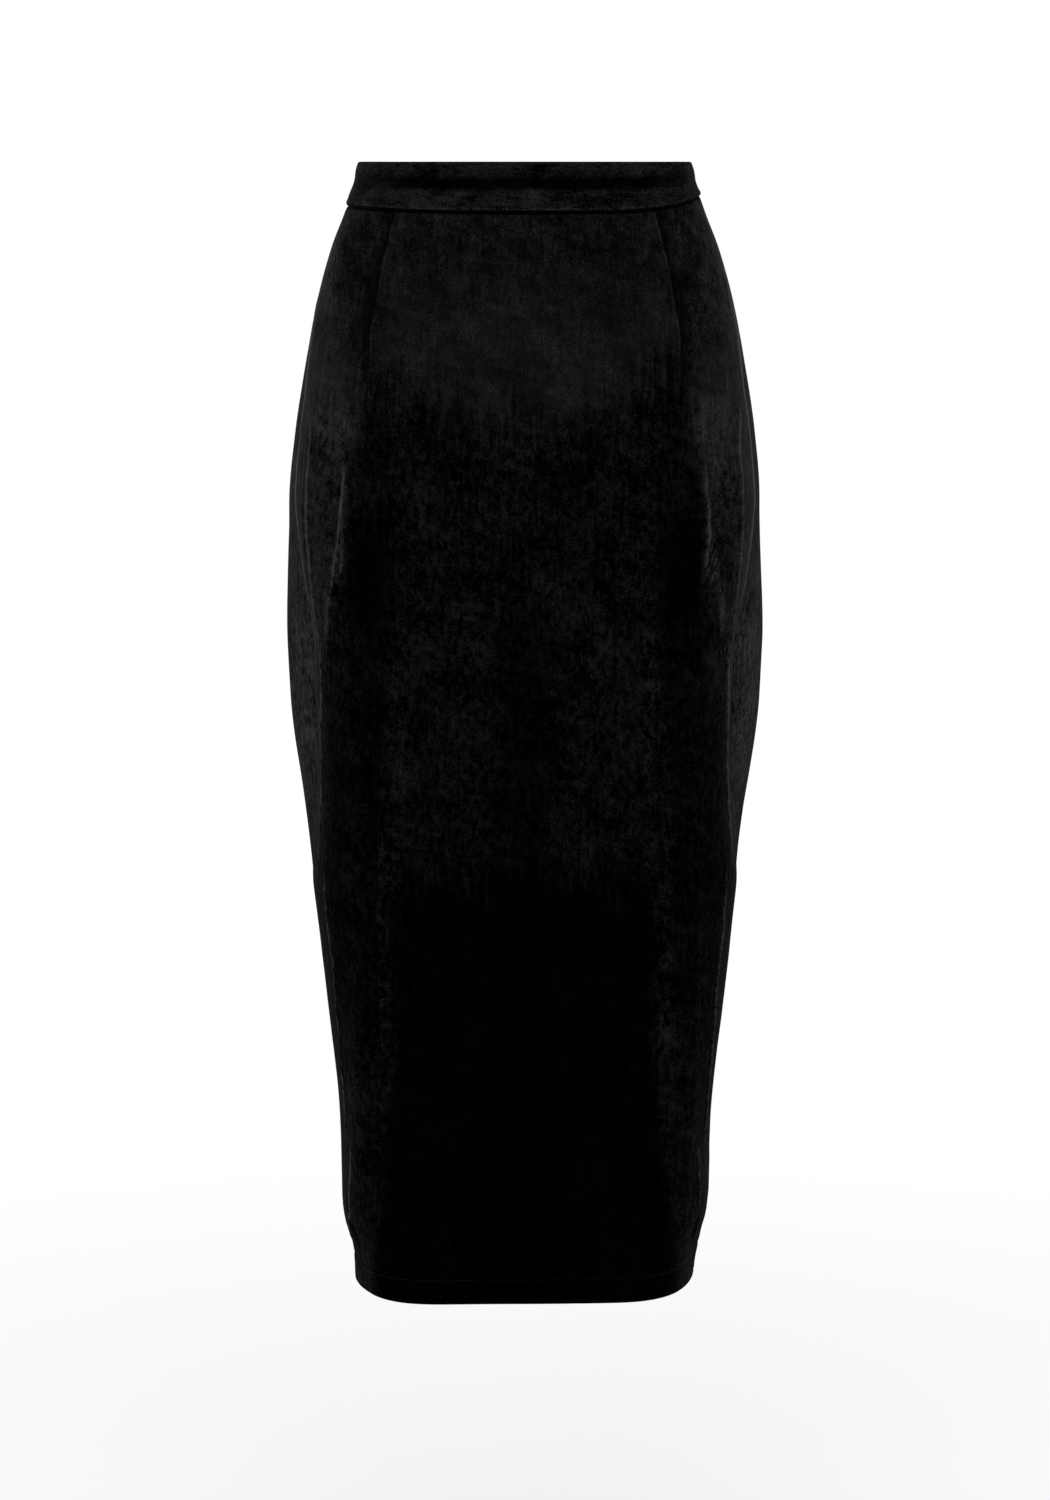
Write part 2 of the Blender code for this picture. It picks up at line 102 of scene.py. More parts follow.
Section = namedtuple("Section", "drop half_width front back front_flat front_round back_power")
SECTIONS = rows_of(Section, (
    (0.000, 0.1159, 0.0860, 0.0860, 2.30, 2.30, 2.20),
    (0.017, 0.1208, 0.0875, 0.0885, 2.30, 2.30, 2.20),
    (0.036, 0.1272, 0.0895, 0.0925, 2.32, 2.32, 2.20),
    (0.060, 0.1366, 0.0955, 0.1000, 2.40, 2.40, 2.25),
    (0.096, 0.1469, 0.1045, 0.1110, 2.55, 2.50, 2.30),
    (0.140, 0.1557, 0.1125, 0.1205, 2.75, 2.55, 2.35),
    (0.190, 0.1638, 0.1160, 0.1262, 3.00, 2.60, 2.40),
    (0.240, 0.1684, 0.1150, 0.1262, 3.30, 2.65, 2.45),
    (0.310, 0.1686, 0.1120, 0.1215, 3.80, 2.70, 2.50),
    (0.380, 0.1662, 0.1095, 0.1165, 4.30, 2.70, 2.55),
    (0.440, 0.1602, 0.1070, 0.1125, 4.70, 2.60, 2.60),
    (0.505, 0.1522, 0.1045, 0.1090, 5.20, 2.40, 2.70),
    (0.600, 0.1427, 0.1000, 0.1040, 5.80, 2.25, 2.85),
    (0.680, 0.1354, 0.0965, 0.1000, 6.00, 2.10, 3.00),
    (0.755, 0.1334, 0.0935, 0.0970, 6.00, 2.00, 3.05),
    (0.776, 0.1289, 0.0925, 0.0962, 5.80, 1.95, 3.00),
    (0.800, 0.1240, 0.0915, 0.0955, 5.60, 1.95, 2.95),
))

# Where the side seam and the widest point lie, front to back, and how far in from the widest point the
# seam is. Over the hips it is further in than the solids', so that it shows from the front.
SideSeam = namedtuple("SideSeam", "drop inset seam_y wide_y")
SIDE_SEAM = rows_of(SideSeam, (
    (0.000, 0.0006, -0.004, 0.016),
    (0.100, 0.0022, -0.006, 0.018),
    (0.165, 0.0058, -0.010, 0.020),
    (0.230, 0.0068, -0.014, 0.022),
    (0.280, 0.0122, -0.020, 0.024),
    (0.338, 0.0205, -0.028, 0.026),
    (0.390, 0.0195, -0.030, 0.026),
    (0.441, 0.0137, -0.027, 0.024),
    (0.477, 0.0062, -0.022, 0.022),
    (0.510, 0.0010, -0.016, 0.018),
    (0.740, 0.0010, -0.010, 0.014),
    (0.774, 0.0048, -0.014, 0.014),
    (0.800, 0.0006, -0.006, 0.014),
))

# Each dart's line as (drop, x), from the waist seam to the end of its pressed crease. The front's bend a
# little, where the solids' are straight.
DARTS = {
    "front": ((0.034, 0.0893), (0.063, 0.0967), (0.092, 0.1022), (0.1165, 0.1064), (0.152, 0.1062)),
    "back": ((0.034, 0.0620), (0.100, 0.0612), (0.164, 0.0600)),
}

# The largest folds, the same as the solids' apart from one on the front that would hide the side seam.
# Places go from 0 at the panel's centre to 1 at its side seam.
Fold = namedtuple("Fold", "top bottom top_place bottom_place width height")
FOLDS = {
    "front": rows_of(Fold, (
        (0.200, 0.335, 0.740, 0.860, 0.008, 0.0018),
        (0.190, 0.350, 0.830, 0.900, 0.008, -0.0016),
        (0.310, 0.480, 0.500, 0.480, 0.009, 0.0012),
        (0.420, 0.760, 0.520, 0.640, 0.010, 0.0016),
    )),
    "back": rows_of(Fold, (
        (0.230, 0.480, 0.800, 0.760, 0.012, 0.0026),
        (0.290, 0.520, 0.660, 0.640, 0.011, -0.0022),
        (0.420, 0.740, 0.480, 0.420, 0.012, 0.0020),
        (0.060, 0.150, 0.300, 0.560, 0.012, -0.0012),
    )),
}

# Creases, as (drop, x) along each, then half its width and its height, and its share on the wearer's left
# and right. A negative height is a trough.
Crease = namedtuple("Crease", "line width height left right")
CREASES = {
    "front": rows_of(Crease, (
        # the long crease beside each side seam, from the hip to above the knee, and the trough outside it
        (((0.150, 0.1518), (0.170, 0.1483), (0.187, 0.1474), (0.215, 0.1488), (0.244, 0.1497),
          (0.300, 0.1462), (0.343, 0.1427)), 0.0013, 0.0018, 0.9, 1.0),
        (((0.175, 0.1530), (0.230, 0.1545), (0.290, 0.1515), (0.340, 0.1470)), 0.0036, -0.0009, 1.0, 0.8),
        # the crease that parts into two and joins again
        (((0.195, 0.1225), (0.228, 0.1243), (0.256, 0.1266), (0.268, 0.1303), (0.284, 0.1326),
          (0.303, 0.1358), (0.322, 0.1360), (0.336, 0.1362)), 0.0013, 0.0019, 0.8, 1.0),
        (((0.236, 0.1244), (0.261, 0.1254), (0.274, 0.1250), (0.280, 0.1283), (0.288, 0.1322)),
         0.0013, 0.0017, 1.0, 0.8),
        (((0.225, 0.1375), (0.290, 0.1400), (0.335, 0.1400)), 0.0034, -0.0011, 0.9, 0.8),
        # soft pulls on the hips, above the long creases
        (((0.056, 0.1262), (0.065, 0.1213), (0.072, 0.1168), (0.081, 0.1106), (0.090, 0.1055)),
         0.0042, -0.0032, 0.9, 1.0),
        (((0.040, 0.1268), (0.052, 0.1262), (0.066, 0.1250), (0.080, 0.1200)), 0.0036, 0.0014, 1.0, 0.9),
        (((0.084, 0.1010), (0.090, 0.1038), (0.101, 0.1093), (0.111, 0.1153), (0.119, 0.1213),
          (0.127, 0.1280)), 0.0044, -0.0013, 0.8, 1.0),
        (((0.062, 0.1345), (0.115, 0.1446), (0.168, 0.1535)), 0.0034, 0.0008, 1.0, 0.8),
        (((0.108, 0.1330), (0.162, 0.1393), (0.208, 0.1406)), 0.0042, 0.0008, 0.8, 1.0),
        (((0.165, 0.1178), (0.208, 0.1193), (0.246, 0.1230)), 0.0032, 0.0008, 1.0, 0.7),
        # above the knee
        (((0.320, 0.1425), (0.370, 0.1414), (0.440, 0.1424), (0.500, 0.1460)), 0.0024, 0.0013, 1.0, 0.8),
        (((0.290, 0.0885), (0.330, 0.0862), (0.365, 0.0858), (0.407, 0.0867), (0.456, 0.0884),
          (0.525, 0.0895)), 0.0036, 0.0020, 0.9, 1.0),
        (((0.400, 0.0960), (0.465, 0.0968), (0.540, 0.0975)), 0.0045, -0.0008, 0.8, 1.0),
        # beside the side seam below the knee, and at the hem's corners
        (((0.478, 0.1410), (0.512, 0.1397), (0.537, 0.1388), (0.561, 0.1354), (0.598, 0.1330),
          (0.667, 0.1283), (0.705, 0.1270)), 0.0013, 0.0016, 1.0, 0.8),
        (((0.688, 0.1231), (0.733, 0.1252), (0.770, 0.1231)), 0.0020, 0.0013, 0.7, 1.0),
        (((0.728, 0.1290), (0.757, 0.1217), (0.770, 0.1180)), 0.0034, -0.0014, 1.0, 0.8),
    )),
    "back": rows_of(Crease, (
        (((0.180, 0.1500), (0.250, 0.1540), (0.330, 0.1500), (0.390, 0.1440)), 0.0022, 0.0018, 1.0, 0.7),
        (((0.215, 0.1330), (0.280, 0.1370), (0.345, 0.1360)), 0.0040, -0.0014, 0.8, 1.0),
        (((0.210, 0.1200), (0.255, 0.1240), (0.290, 0.1290), (0.330, 0.1310)), 0.0020, 0.0018, 0.8, 1.0),
        (((0.290, 0.1080), (0.350, 0.1150), (0.430, 0.1130)), 0.0050, 0.0012, 1.0, 0.8),
        (((0.255, 0.0180), (0.290, 0.0400), (0.312, 0.0650)), 0.0070, -0.0012, 1.0, 0.7),
        (((0.285, 0.0160), (0.322, 0.0430), (0.340, 0.0700)), 0.0060, 0.0011, 0.8, 1.0),
        (((0.060, 0.0860), (0.078, 0.0960), (0.090, 0.1080)), 0.0055, -0.0014, 1.0, 0.8),
        (((0.600, 0.0160), (0.622, 0.0300), (0.640, 0.0480)), 0.0055, 0.0011, 1.0, 0.6),
        (((0.615, 0.0120), (0.660, 0.0300), (0.720, 0.0420)), 0.0070, -0.0012, 0.7, 1.0),
        (((0.500, 0.1330), (0.580, 0.1300), (0.680, 0.1240)), 0.0022, 0.0014, 0.8, 1.0),
        (((0.728, 0.1290), (0.757, 0.1217), (0.770, 0.1180)), 0.0040, -0.0014, 0.9, 0.8),
    )),
}


# ---- the skirt's sections ----

SECTION_POINTS = 241  # round a half section
SIDE_POINTS = 61  # of the back, from its widest point to the side seam


def column(table, name, drops):
    """A table's column at any drops, as a smooth curve that never overshoots its rows."""
    x = np.array([row.drop for row in table])
    y = np.array([getattr(row, name) for row in table])
    rise = np.diff(y) / np.diff(x)
    slope = np.zeros_like(y)
    slope[0], slope[-1] = rise[0], rise[-1]
    same_way = rise[:-1] * rise[1:] > 0
    slope[1:-1][same_way] = 2 * (rise[:-1] * rise[1:])[same_way] / (rise[:-1] + rise[1:])[same_way]
    drops = np.asarray(drops, float)
    i = np.clip(np.searchsorted(x, drops) - 1, 0, len(x) - 2)
    step = x[i + 1] - x[i]
    t = np.clip((drops - x[i]) / step, 0, 1)
    start = (1 + 2 * t) * (1 - t) ** 2 * y[i] + t * (1 - t) ** 2 * step * slope[i]
    end = t * t * (3 - 2 * t) * y[i + 1] - t * t * (1 - t) * step * slope[i + 1]
    return start + end


def outline(which, drops):
    """Half sections on the +X side, one row of points for each drop, from the centre to the side seam."""
    drops = np.asarray(drops, float)[:, None]
    half_width = column(SECTIONS, "half_width", drops)
    inset = column(SIDE_SEAM, "inset", drops)
    seam_y = column(SIDE_SEAM, "seam_y", drops)
    wide_y = column(SIDE_SEAM, "wide_y", drops)
    reach = column(SECTIONS, which, drops)
    seam_x = half_width - inset
    if which == "front":
        flat = column(SECTIONS, "front_flat", drops)
        rounding = column(SECTIONS, "front_round", drops)
    else:
        flat = rounding = column(SECTIONS, "back_power", drops)
    turn = math.pi / 2 * np.linspace(0, 1, SECTION_POINTS)[None, :] ** (flat / 2)
    across = np.sin(turn) ** (2 / flat)
    along = np.clip(np.cos(turn), 0, 1) ** (2 / rounding)
    if which == "front":
        return seam_x * across, seam_y - (reach + seam_y) * along
    share = np.linspace(0, 1, SIDE_POINTS)[None, 1:]
    x = np.concatenate([half_width * across, seam_x + inset * np.cos(share * math.pi / 2)], axis=1)
    y = np.concatenate([wide_y + (reach - wide_y) * along, wide_y - (wide_y - seam_y) * share], axis=1)
    return x, y


class Half:
    """The surface of half the front or half the back, read at any drop and any share of the way round."""

    STEP = 0.001
    SHARES = 700
    BEYOND = 0.004  # how far the table runs past both ends

    def __init__(self, which):
        self.facing = -1 if which == "front" else 1
        self.drops = np.arange(-self.BEYOND, LENGTH + self.BEYOND, self.STEP)
        x, y = outline(which, self.drops)
        steps = np.hypot(np.diff(x, axis=1), np.diff(y, axis=1))
        far = np.concatenate([np.zeros((len(x), 1)), np.cumsum(steps, axis=1)], axis=1)
        self.whole = far[:, -1]
        shares = np.linspace(0, 1, self.SHARES + 1)
        self.x = np.array([np.interp(shares * f[-1], f, row) for f, row in zip(far, x)])
        self.y = np.array([np.interp(shares * f[-1], f, row) for f, row in zip(far, y)])

    def length(self, drop):
        return np.interp(drop, self.drops, self.whole)

    def at(self, drop, share):
        """x and y at each drop and share, as straight steps between close table points."""
        row = np.clip((drop - self.drops[0]) / self.STEP, 0, len(self.drops) - 1.001)
        col = np.clip(share * self.SHARES, 0, self.SHARES - 0.001)
        i, j = row.astype(int), col.astype(int)
        s, t = row - i, col - j
        near, far = (1 - s) * (1 - t), s * (1 - t)
        return tuple(
            g[i, j] * near + g[i + 1, j] * far + g[i, j + 1] * (1 - s) * t + g[i + 1, j + 1] * s * t
            for g in (self.x, self.y)
        )

    def normal(self, drop, share):
        """Unit normals out of the skirt, from the slopes of the surface down and round."""
        down, round_ = 0.002, 0.002
        above, below = self.at(drop - down, share), self.at(drop + down, share)
        before, after = self.at(drop, share - round_), self.at(drop, share + round_)
        steps_down = np.stack([below[0] - above[0], below[1] - above[1], 0 * drop - 2 * down], axis=-1)
        steps_round = np.stack([after[0] - before[0], after[1] - before[1], 0 * drop], axis=-1)
        normal = np.cross(steps_round, steps_down) * self.facing
        return normal / np.linalg.norm(normal, axis=-1, keepdims=True)

    def share_of_x(self, drop, x):
        """The share of the way round at which the half section at one drop is that far from the centre."""
        row = int(round(np.clip((drop - self.drops[0]) / self.STEP, 0, len(self.drops) - 1)))
        widest = int(np.argmax(self.x[row]))
        shares = np.linspace(0, widest / self.SHARES, widest + 1)
        return float(np.interp(x, self.x[row][: widest + 1], shares))


HALVES = {which: Half(which) for which in ("front", "back")}


def seam_drop(side, x):
    """The waist seam's drop: it rises a little towards the side seams."""
    lift, power = SEAM_LIFT[side]
    share = np.minimum(1.0, np.abs(x) / column(SECTIONS, "half_width", [BAND_DEPTH])[0])
    return BAND_DEPTH - lift * share**power


def centre_edge(which, drop):
    """Half the space between the two centre-back edges; the front panel has no centre edge."""
    if which == "front":
        return np.zeros_like(drop)
    slit = np.clip((drop - (LENGTH - SLIT_LENGTH)) / SLIT_LENGTH, 0, 1)
    below = SEAM_GAP / 2 + (SLIT_OPEN - SEAM_GAP) / 2 * slit**SLIT_CURVE
    return np.where(drop <= ZIP_LENGTH, ZIP_GAP / 2, below)


def dart_distance(which, drop):
    """How far round the panel the dart's line runs; below its end it keeps its share of the panel."""
    drops, places = zip(*DARTS[which])
    down = np.clip(drop, drops[0], drops[-1])
    half = HALVES[which]
    share = np.array([half.share_of_x(d, x) for d, x in zip(down, np.interp(down, drops, places))])
    return share * half.length(drop)


def dart_share(which, drop):
    """1 at the waist seam and 0 from the end of the dart's crease down."""
    start, end = DARTS[which][0][0], DARTS[which][-1][0]
    return np.clip((end - drop) / (end - start), 0, 1)


# ---- relief ----

LATTICE = 61
# Seeds of the uneven patterns, and the steps between those of folds, creases and swells
SWELL_SEEDS = {"front": 100, "back": 200}
SEAM_SEEDS = {"front": 300, "back": 400}
BAND_SEEDS = {"front": 500, "back": 600}
STITCH_SEED = 900
FOLD_SEEDS, CREASE_SEEDS, NEXT_SWELL = 11, 7, 10
# How far a fold's line strays, as a share of the panel, a crease's in metres, and over what length
FOLD_WANDER, FOLD_WANDER_LENGTH = 0.012, 0.045
CREASE_WANDER, CREASE_WANDER_LENGTH = 0.0010, 0.018
CRISP_FADE, SOFT_FADE = 7, 4  # a crease fades in and out over one part in this many of its length

# Painted light and shade over the sides. A ramp is where it starts and how far it runs, back if negative.
RIDGE_PAINTED_LIGHT, TROUGH_PAINTED_SHADE = 500, 220  # lighter on a soft crease and darker in a trough, for each metre of height
HIP_LIGHT, HIP_DROP, HIP_SPREAD, HIP_REACH = 1.6, 0.075, 0.045, 0.022  # beside the side seam
SIDE_LIGHT_START = 0.104  # how far from the middle the painted light on the sides starts
SIDE_LIGHT_MOVES = ((0.010, (0.175, 0.035)), (0.024, (0.27, 0.08)))  # how that moves outwards, and on what ramps
SIDE_LIGHT, SIDE_LIGHT_EDGE, SIDE_LIGHT_TOP, SIDE_LIGHT_END = 2.5, 0.018, (0.08, 0.11), (0.53, -0.14)
SEAT_LIGHT, SEAT_DROP, SEAT_SPREAD = 1.0, 0.18, 0.035
THIGH_LIGHT, THIGH_TOP, THIGH_END = 1.5, (0.28, 0.05), (0.49, -0.06)
OUTER_SHADE, OUTER_START, OUTER_END = 0.42, (0.136, 0.012), (0.24, -0.05)  # less painted light furthest out
KNEE_SHADE, KNEE_START, KNEE_TOP = 0.6, (0.118, 0.015), (0.34, 0.06)
BEHIND_LIGHT, BEHIND_REACH = 0.4, 0.030  # the back's, beside the side seam
BEHIND_KNEE_LIGHT, BEHIND_KNEE_DROP, BEHIND_KNEE_SPREAD = 1.1, 0.43, 0.07
SHADE_LIMITS = (0.15, 2.2)

# Painted highlights: the shares on creases and on seam edges, and the painted sheen on the rim of the hips
HIGHLIGHT_SHARES = {"front": (0.75, 1.0), "back": (0.13, 0.1)}
HIGHLIGHT_TOP = (0.09, 0.04)
HIGHLIGHT_MOST = 2.4
RIM_HIGHLIGHT, RIM_DROP, RIM_SPREAD, RIM_REACH = 0.25, 0.085, 0.050, 0.0035

# A dart: its raised edge and the stitched line's groove with how far they reach, and the hollow beyond
DART_START, DART_START_OVER = 0.2, 0.010  # how much of it there is at the waist seam
DART_EDGE, DART_EDGE_REACH = 0.0010, 0.0050
DART_GROOVE, DART_GROOVE_REACH = -0.0016, 0.0038
DART_HOLLOW, DART_HOLLOW_PLACE, DART_HOLLOW_WIDTH = -0.0011, 0.010, 0.009

# Swells of the cloth: their sizes across and down, their height, and how much higher on the lower sides
Swell = namedtuple("Swell", "across down height more")
WIDE_SWELL = Swell(0.060, 0.130, 0.0005, 0.0007)
NARROW_SWELL = Swell(0.016, 0.070, 0.00010, 0.00032)
SMALL_SWELL = Swell(0.010, 0.016, 0.00007, 0.0)
HEM_SWELL, HEM_SWELL_HEIGHT, HEM_SWELL_FADE = 0.055, 0.0010, 0.10
SWELL_SIDES, SWELL_LOWER = (0.35, 0.4), (0.16, 0.12)  # ramps of the narrow swells, outwards and down
SWELL_START_OVER = 0.02  # from the waist seam

# Puckers along the sewn lines: their length, their height and how far from the line they reach
Pucker = namedtuple("Pucker", "length height reach")
SIDE_PUCKER = Pucker(0.011, 0.00030, 0.007)
WAIST_PUCKER = Pucker(0.009, 0.00028, 0.009)
HEM_PUCKER = Pucker(0.0075, 0.00022, 0.007)
CENTRE_PUCKER = Pucker(0.012, 0.00032, 0.007)

SEAM_SINK, SEAM_SINK_REACH = 0.0004, 0.0035
# The front's edge stands out along the side seams on the hips, highest between two distances from the seam
SEAM_RIDGE, SEAM_RIDGE_WIDTH, SEAM_RIDGE_CREST = 0.0011, 0.0014, (0.0022, 0.0028)
RIDGE_TOP, RIDGE_END = (0.06, 0.05), (0.36, -0.06)
SEAM_HOLLOW, HOLLOW_PLACE, HOLLOW_WIDTH, HOLLOW_TOP = 0.0011, 0.015, 0.009, (0.18, 0.05)  # beside that edge
STITCH_GROOVE, STITCH_GROOVE_WIDTH = -0.00055, 0.0012
STITCH_ROLL, STITCH_ROLL_PLACE, STITCH_ROLL_WIDTH = 0.00022, 0.0042, 0.0024  # above and below the stitches
ZIP_RIDGE, ZIP_RIDGE_PLACE, ZIP_RIDGE_WIDTH = 0.00040, 0.0055, 0.0042  # over the zip's tape
ZIP_RIDGE_END = (ZIP_LENGTH + 0.01, -0.02)
WAIST_GROOVE, WAIST_GROOVE_REACH = 0.0010, 0.0014
WAIST_SINK, WAIST_SINK_REACH = 0.0003, 0.006
WAIST_PUSH, WAIST_PUSH_OVER = 0.0006, 0.0010


def smooth(t):
    t = np.clip(t, 0, 1)
    return t * t * (3 - 2 * t)


def ramp(value, start, over):
    """From 0 at the start to 1 `over` further on; with `over` negative it is 1 before and 0 after."""
    return smooth((value - start) / over)


def wobble(u, v, size_u, size_v, seed):
    """Smooth uneven relief between about -1 and 1, with hollows of size_u by size_v."""
    lattice = np.random.default_rng(seed).uniform(-1, 1, (LATTICE, LATTICE))
    a, b = np.asarray(u) / size_u, np.asarray(v) / size_v
    i, j = np.floor(a).astype(int), np.floor(b).astype(int)
    s, t = smooth(a - i), smooth(b - j)
    rows = [lattice[i % LATTICE, k % LATTICE] * (1 - s) + lattice[(i + 1) % LATTICE, k % LATTICE] * s
            for k in (j, j + 1)]
    return rows[0] * (1 - t) + rows[1] * t


def wave(along, length, seed, row=0.0):
    """Uneven waves along a line, of about that length."""
    return wobble(along, 0 * along + row, length, 1, seed)


def bell(distance, width):
    return np.exp(-((distance / width) ** 2))


def fold_relief(which, side, drop, place, whole):
    total = np.zeros_like(drop)
    for number, fold in enumerate(FOLDS[which]):
        down = np.clip((drop - fold.top) / (fold.bottom - fold.top), 0, 1)
        middle = fold.top_place + (fold.bottom_place - fold.top_place) * down
        middle = middle + FOLD_WANDER * wave(drop, FOLD_WANDER_LENGTH, FOLD_SEEDS * number + side + 1)
        total += fold.height * np.sin(math.pi * down) * bell((place - middle) * whole, fold.width)
    return total


def crease_amounts(which, side, drop, distance):
    """Each finer crease with how much of it there is at every point. They fade at both ends."""
    half = HALVES[which]
    for number, crease in enumerate(CREASES[which]):
        drops = np.array([p[0] for p in crease.line])
        far = np.array([half.share_of_x(d, x) * half.length(d) for d, x in crease.line])
        wander = CREASE_WANDER * wave(drop, CREASE_WANDER_LENGTH, CREASE_SEEDS * number + side + 1)
        middle = np.interp(drop, drops, far) + wander
        slope = np.gradient(far, drops).mean()
        down = np.clip((drop - drops[0]) / (drops[-1] - drops[0]), 0, 1)
        crisp = crease.width < CRISP_WIDTH
        fade = CRISP_FADE if crisp else SOFT_FADE
        reach = smooth(down * fade) * smooth((1 - down) * fade)
        strength = crease.left if side > 0 else crease.right
        across = np.abs(distance - middle) / math.hypot(1, slope)
        profile = np.exp(-across / crease.width) if crisp else bell(across, crease.width)
        yield crease, strength * reach * profile


def crease_relief(which, side, drop, distance):
    return sum(crease.height * amount for crease, amount in crease_amounts(which, side, drop, distance))


def painted_highlights(which, side, drop, distance, whole, x):
    """How much painted highlight there is, 1 being a full one.

    It is painted on the crisp creases, on the edges of the side seams, and as painted sheen a little over the
    sides of the hips.
    """
    total = np.zeros_like(drop)
    for crease, amount in crease_amounts(which, side, drop, distance):
        if crease.width < CRISP_WIDTH:
            total += np.clip(amount, 0, 1) ** 2
    place, width, highlight_strength = (np.interp(drop, SEAM_HIGHLIGHT[0], row) for row in SEAM_HIGHLIGHT[1:])
    seam = highlight_strength * np.exp(-np.abs(whole - distance - place) / width) * ramp(drop, *HIGHLIGHT_TOP)
    from_rim = x.max(axis=1, keepdims=True) - x
    rim = RIM_HIGHLIGHT * bell(drop - RIM_DROP, RIM_SPREAD) * np.exp(-from_rim / RIM_REACH)
    crease_share, seam_share = HIGHLIGHT_SHARES[which]
    return np.clip(crease_share * total + seam_share * seam, 0, HIGHLIGHT_MOST) + rim


def painted_light_and_shade(which, side, drop, distance, whole, x):
    """Painted light and shade: darker in the soft troughs, and lighter down the sides of the hips."""
    shade = 1.0
    for crease, amount in crease_amounts(which, side, drop, distance):
        if crease.width >= CRISP_WIDTH:
            shade = shade + (RIDGE_PAINTED_LIGHT if crease.height > 0 else TROUGH_PAINTED_SHADE) * crease.height * amount
    to_side = whole - distance
    hip = HIP_LIGHT * bell(drop - HIP_DROP, HIP_SPREAD) * np.exp(-to_side / HIP_REACH)
    start = SIDE_LIGHT_START
    for move, down in SIDE_LIGHT_MOVES:
        start = start + move * ramp(drop, *down)
    side_light = SIDE_LIGHT + SEAT_LIGHT * bell(drop - SEAT_DROP, SEAT_SPREAD)
    side_light = side_light + THIGH_LIGHT * ramp(drop, *THIGH_TOP) * ramp(drop, *THIGH_END)
    side_light = side_light * (1 - OUTER_SHADE * ramp(x, *OUTER_START) * ramp(drop, *OUTER_END))
    sides = side_light * ramp(x, start, SIDE_LIGHT_EDGE) * ramp(drop, *SIDE_LIGHT_TOP) * ramp(drop, *SIDE_LIGHT_END)
    knee = KNEE_SHADE * ramp(x, *KNEE_START) * ramp(drop, *KNEE_TOP)
    behind = 0.0
    if which == "back":
        light = BEHIND_LIGHT + BEHIND_KNEE_LIGHT * bell(drop - BEHIND_KNEE_DROP, BEHIND_KNEE_SPREAD)
        behind = light * np.exp(-to_side / BEHIND_REACH)
    return np.clip(shade, *SHADE_LIMITS) * (1 + hip + sides - knee) * (1 + behind)


def dart_relief(which, drop, distance):
    """A dart pressed to the centre: a raised edge on the centre side, then the stitched line's groove."""
    off = distance - dart_distance(which, drop[:, 0])[:, None]
    start = DART_START + (1 - DART_START) * ramp(drop, BAND_DEPTH, DART_START_OVER)
    share = dart_share(which, drop) ** 0.5 * start
    raised = DART_EDGE * np.exp(np.minimum(off, 0) / DART_EDGE_REACH) * (off <= 0)
    sunk = DART_GROOVE * np.exp(-np.maximum(off, 0) / DART_GROOVE_REACH) * (off > 0)
    return share * (raised + sunk + DART_HOLLOW * bell(off - DART_HOLLOW_PLACE, DART_HOLLOW_WIDTH))


def broad_relief(which, side, drop, distance):
    """The cloth's own unevenness: wide soft swells, narrower ones down the sides, and a slack hem."""
    seed = SWELL_SEEDS[which]
    round_ = distance * side
    lower = ramp(drop, *SWELL_LOWER)
    sides = ramp(distance / HALVES[which].length(drop), *SWELL_SIDES)
    total = 0
    for swell, share in ((WIDE_SWELL, lower), (NARROW_SWELL, sides * lower), (SMALL_SWELL, 0)):
        height = swell.height + swell.more * share
        total = total + wobble(round_, drop, swell.across, swell.down, seed) * height
        seed += NEXT_SWELL
    slack = wave(round_, HEM_SWELL, seed) * HEM_SWELL_HEIGHT * ramp(drop, HEM_SLACK_TOP, HEM_SWELL_FADE)
    return ramp(drop, BAND_DEPTH, SWELL_START_OVER) * (total + slack)


def waist_relief(level):
    """The groove under the waistband, and the panels' top edges pushed back behind it."""
    under = np.maximum(level - BAND_DEPTH, 0)
    up = np.maximum(BAND_DEPTH - level, 0)
    groove = -WAIST_GROOVE * np.exp(-under / WAIST_GROOVE_REACH)
    return groove - WAIST_SINK * np.exp(-under / WAIST_SINK_REACH) - WAIST_PUSH * smooth(up / WAIST_PUSH_OVER)


def pucker_relief(kind, along, off, seed, row=0.0):
    return wave(along, kind.length, seed, row) * kind.height * np.exp(-off / kind.reach)


